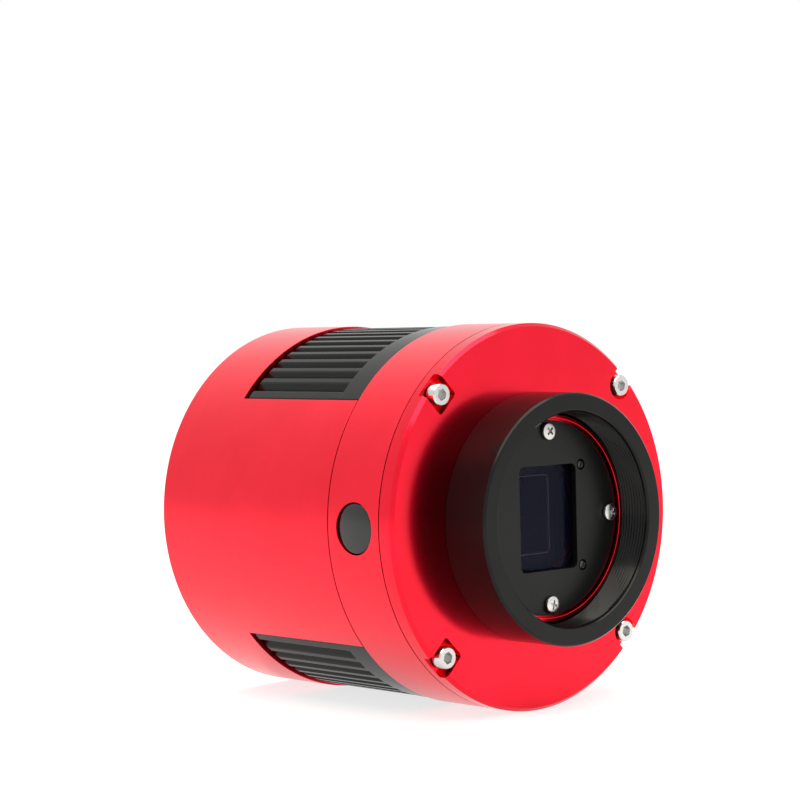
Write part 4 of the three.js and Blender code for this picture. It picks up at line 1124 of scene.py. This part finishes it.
def blade_point(share, k, front, back):
    """A blade point's radius, angle and y; share runs from root to tip, k around the section."""
    halfway = (front + back) / 2
    radius = BLADE_ROOT_R + (ROTOR_HIGH.x - BLADE_ROOT_R) * share
    pitch = math.radians(BLADE_PITCH - BLADE_TWIST * share)
    half_chord = min(0.5 * (back - front) / math.sin(pitch), BLADE_CHORD + BLADE_CHORD_GROWTH * share)
    a = math.tau * k / BLADE_AROUND
    chordwise = half_chord * math.cos(a)
    thickness = (BLADE_HALF_THICKNESS - BLADE_THINNING * share) * math.sin(a)
    across = thickness + BLADE_CAMBER * (1 - (chordwise / half_chord) ** 2)
    tangential = chordwise * math.cos(pitch) - across * math.sin(pitch)
    axial = chordwise * math.sin(pitch) + across * math.cos(pitch)
    axial = max(front - halfway, min(back - halfway, axial))
    return radius, tangential / radius, halfway + axial


def fan_blade(turn):
    """A twisted, cambered blade that thins towards its tip."""
    front, back = ROTOR_LOW.y + 0.15, ROTOR_HIGH.y - 0.15
    stations, around = BLADE_STATIONS, BLADE_AROUND
    corners, faces = [], []
    for i in range(stations + 1):
        share = i / stations
        sweep = math.radians(BLADE_SWEEP * share)
        for k in range(around):
            radius, offset, y = blade_point(share, k, front, back)
            angle = math.tau * turn + sweep + offset
            corners.append((radius * math.cos(angle), y, radius * math.sin(angle)))
    for i in range(stations):
        for k in range(around):
            m = (k + 1) % around
            faces.append([i * around + k, i * around + m, (i + 1) * around + m, (i + 1) * around + k])
    faces.append(list(range(around)))
    faces.append([stations * around + k for k in reversed(range(around))])
    return mesh_object("blade", corners, faces)


ROTOR_BORE_R = 1.1
HUB_R = 9.5
HUB_INNER_R = 8.1
HUB_CAP = 1.4


def fan_rotor():
    """The hub cup with its blades."""
    front, back = ROTOR_LOW.y, ROTOR_HIGH.y
    made = lathe("fan_rotor_bladed", [
        (ROTOR_BORE_R, front), (HUB_R - 0.9, front), (HUB_R - 0.3, front + 0.25),
        (HUB_R, front + 0.9), (HUB_R, back), (HUB_INNER_R, back), (HUB_INNER_R, front + HUB_CAP),
        (ROTOR_BORE_R, front + HUB_CAP),
    ], GUARD_STEPS)
    weld(made, *[fan_blade(i / BLADES) for i in range(BLADES)])
    return piece(made, FAN, "black_plastic", replaces=["fan_rotor"], crease=40.0)


back_plate()
fan_guard()
fan_frame()
fan_rotor()

socket_screws("back", PILLAR_PLACES, END_HIGH.y, -1, BACK_SCREW)
socket_screws("fan", FAN_PLACES, box("fan_screw_1")[1].y, -1, FAN_SCREW)


USB_A = {"mouth": (12.3, 4.9), "tongue": (11, 1.8), "rise": 1.0}
USB_B = {"mouth": (8.6, 8.2), "tongue": (5.6, 3.2), "rise": -0.6}
USB_DEPTH = 9
USB_CORNER = 0.4


def usb_socket(name, node, mouth, tongue, rise):
    """A steel socket and its plastic tongue."""
    low, high = box(node)
    x, z = middle(low, high)
    outline = rounded_rectangle(high.x - low.x, high.z - low.z, USB_CORNER, x, z, 6)
    made = prism(name, outline, low.y, high.y)
    opening = rounded_rectangle(*mouth, 0.35, x, z, 6)
    carve(made, prism("cutter", opening, high.y - USB_DEPTH, high.y + CLEAR))
    soften(made, 0.12)
    tongue_outline = rounded_rectangle(*tongue, 0.15, x, z + rise)
    blade = prism(f"{name}_tongue", tongue_outline, high.y - USB_DEPTH + 0.02, high.y - 0.8)
    soften(blade, 0.08, 1)
    piece(blade, BODY, "black_plastic")
    return piece(made, BODY, "socket_steel", replaces=[node])


usb_socket("usb_a_port_1", "usb_a_socket_1", **USB_A)
usb_socket("usb_a_port_2", "usb_a_socket_2", **USB_A)
usb_socket("usb_b_port", "usb_b_socket", **USB_B)

POWER_BASE = 9
POWER_BASE_BACK = 78.7
POWER_COLLAR_R = 4.2
POWER_BORE_R = 3.1
POWER_BORE_DEPTH = 9.5
POWER_MOUTH = 0.3
POWER_PIN_R = 1.05


def power_socket():
    """A round socket with a steel centre pin."""
    low, high = box("power_socket")
    back, collar_front = high.y, POWER_BASE_BACK - CLEAR
    outline = rounded_rectangle(POWER_BASE, POWER_BASE, 0.6, POWER_X, 0)
    base = prism("power_port", outline, low.y, POWER_BASE_BACK)
    collar = lathe("collar", [
        (0, collar_front), (POWER_COLLAR_R, collar_front), (POWER_COLLAR_R, back - POWER_MOUTH),
        (POWER_COLLAR_R - POWER_MOUTH, back), (0, back),
    ], FINE)
    weld(base, shifted(collar, POWER_X, 0, 0))
    floor_y = back - POWER_BORE_DEPTH
    bore = lathe("cutter", [
        (0, floor_y), (POWER_BORE_R, floor_y), (POWER_BORE_R, back - 0.25),
        (POWER_BORE_R + POWER_MOUTH, back + 0.05), (POWER_BORE_R + POWER_MOUTH, back + CLEAR),
        (0, back + CLEAR),
    ], FINE)
    carve(base, shifted(bore, POWER_X, 0, 0))
    pin = lathe("power_port_pin", [
        (0, floor_y + 0.02), (POWER_PIN_R, floor_y + 0.02), (POWER_PIN_R, back - 1.5),
        (0.8, back - 1.1), (0.3, back - 1), (0, back - 1),
    ], SMALL)
    piece(shifted(pin, POWER_X, 0, 0), BODY, "socket_steel")
    return piece(base, BODY, "black_plastic", replaces=["power_socket"])


power_socket()

# ---------- finishes of the other nodes

SLOT_FINISH = {sub["node"]: sub["material_slot"] for sub in frame["record"]["subparts"]}
for name, obj in frame["nodes"].items():
    if not obj.hide_render:
        obj.data.materials.clear()
        obj.data.materials.append(finishes[SLOT_FINISH[name]])

# ---------- camera, floor, lights

FLOOR_Z = -BARREL_R
FLOOR_HALF = 4000
FLOOR_GREY = (0.3, 0.3, 0.3)
FLOOR_LIGHT_GREY = (0.32, 0.32, 0.32)
FLOOR_GLOW = 0.75
WHITE = (1.0, 1.0, 1.0, 1.0)
WARM_WHITE = (1.0, 0.97, 0.84)
scene = bpy.context.scene

# A plain pale floor that glows faintly, so that only the object's soft shadow shows on it
FLOOR_SIDES = [(-1, -1), (1, -1), (1, 1), (-1, 1)]
floor_corners = [(sx * FLOOR_HALF, sy * FLOOR_HALF, FLOOR_Z) for sx, sy in FLOOR_SIDES]
floor = mesh_object("floor", floor_corners, [[0, 1, 2, 3]])
floor.data.transform(Matrix.Scale(MM, 4))
floor_shader, floor_node, floor_link = shader("floor_paint")
floor_grain = floor_node("ShaderNodeTexNoise", {"Scale": 40.0})
floor_link(ramp(floor_node, floor_grain.outputs["Fac"], FLOOR_GREY, FLOOR_LIGHT_GREY), "Base Color")
floor_shader.inputs["Roughness"].default_value = 0.9
floor_shader.inputs["Specular IOR Level"].default_value = 0.1
floor_shader.inputs["Emission Color"].default_value = WHITE
floor_shader.inputs["Emission Strength"].default_value = FLOOR_GLOW
floor.data.materials.append(finishes["floor_paint"])


def studio():
    """Even white light from all round."""
    scene.view_settings.view_transform = "Standard"
    world = bpy.data.worlds.new("studio")
    scene.world = world
    world.use_nodes = True
    background = world.node_tree.nodes["Background"]
    background.inputs["Color"].default_value = WHITE
    background.inputs["Strength"].default_value = 1.0


def softbox(name, place, target, size, radiance, colour):
    """A rectangular lamp that faces a point, with the given brightness of its face."""
    width, height = size
    data = bpy.data.lights.new(name, "AREA")
    data.shape = "RECTANGLE"
    data.size = width
    data.size_y = height
    data.energy = radiance * math.pi * width * height
    data.color = colour
    lamp = bpy.data.objects.new(name, data)
    scene.collection.objects.link(lamp)
    lamp.location = place
    lamp.rotation_euler = (Vector(target) - Vector(place)).to_track_quat("-Z", "Y").to_euler()


MIDDLE = (0.0, 0.04, 0.0)
SOFTBOX_PLACE = (-0.15, 0.0, 0.9)
SOFTBOX_SIZE = (1.4, 1.2)
SOFTBOX_RADIANCE = 3.6

VIEW_AZIMUTH = -42.261
VIEW_ELEVATION = 1.884
VIEW_ROLL = -1.331
VIEW_DISTANCE = 480.616
VIEW_RIGHT = -34.153
VIEW_UP = 24.412
LENS = 109.53


def view_camera():
    """The camera, turned about the ring's front face and then moved sideways and up."""
    azimuth, elevation, roll = (math.radians(a) for a in (VIEW_AZIMUTH, VIEW_ELEVATION, VIEW_ROLL))
    level = math.cos(elevation)
    back = Vector((math.sin(azimuth) * level, -math.cos(azimuth) * level, math.sin(elevation)))
    right = (-back).cross(Vector((0, 0, 1))).normalized()
    up = right.cross(-back)
    place = (back * VIEW_DISTANCE + right * VIEW_RIGHT + up * VIEW_UP) * MM
    tilted_right = right * math.cos(roll) + up * math.sin(roll)
    tilted_up = up * math.cos(roll) - right * math.sin(roll)
    data = bpy.data.cameras.new("camera")
    data.lens = LENS
    data.sensor_width = 36.0
    data.clip_start = 0.01
    camera = bpy.data.objects.new("camera", data)
    axes = zip(tilted_right, tilted_up, back, place)
    camera.matrix_world = Matrix((*axes, (0, 0, 0, 1)))
    scene.collection.objects.link(camera)
    scene.camera = camera


studio()
softbox("softbox_top", SOFTBOX_PLACE, MIDDLE, SOFTBOX_SIZE, SOFTBOX_RADIANCE, WARM_WHITE)
view_camera()
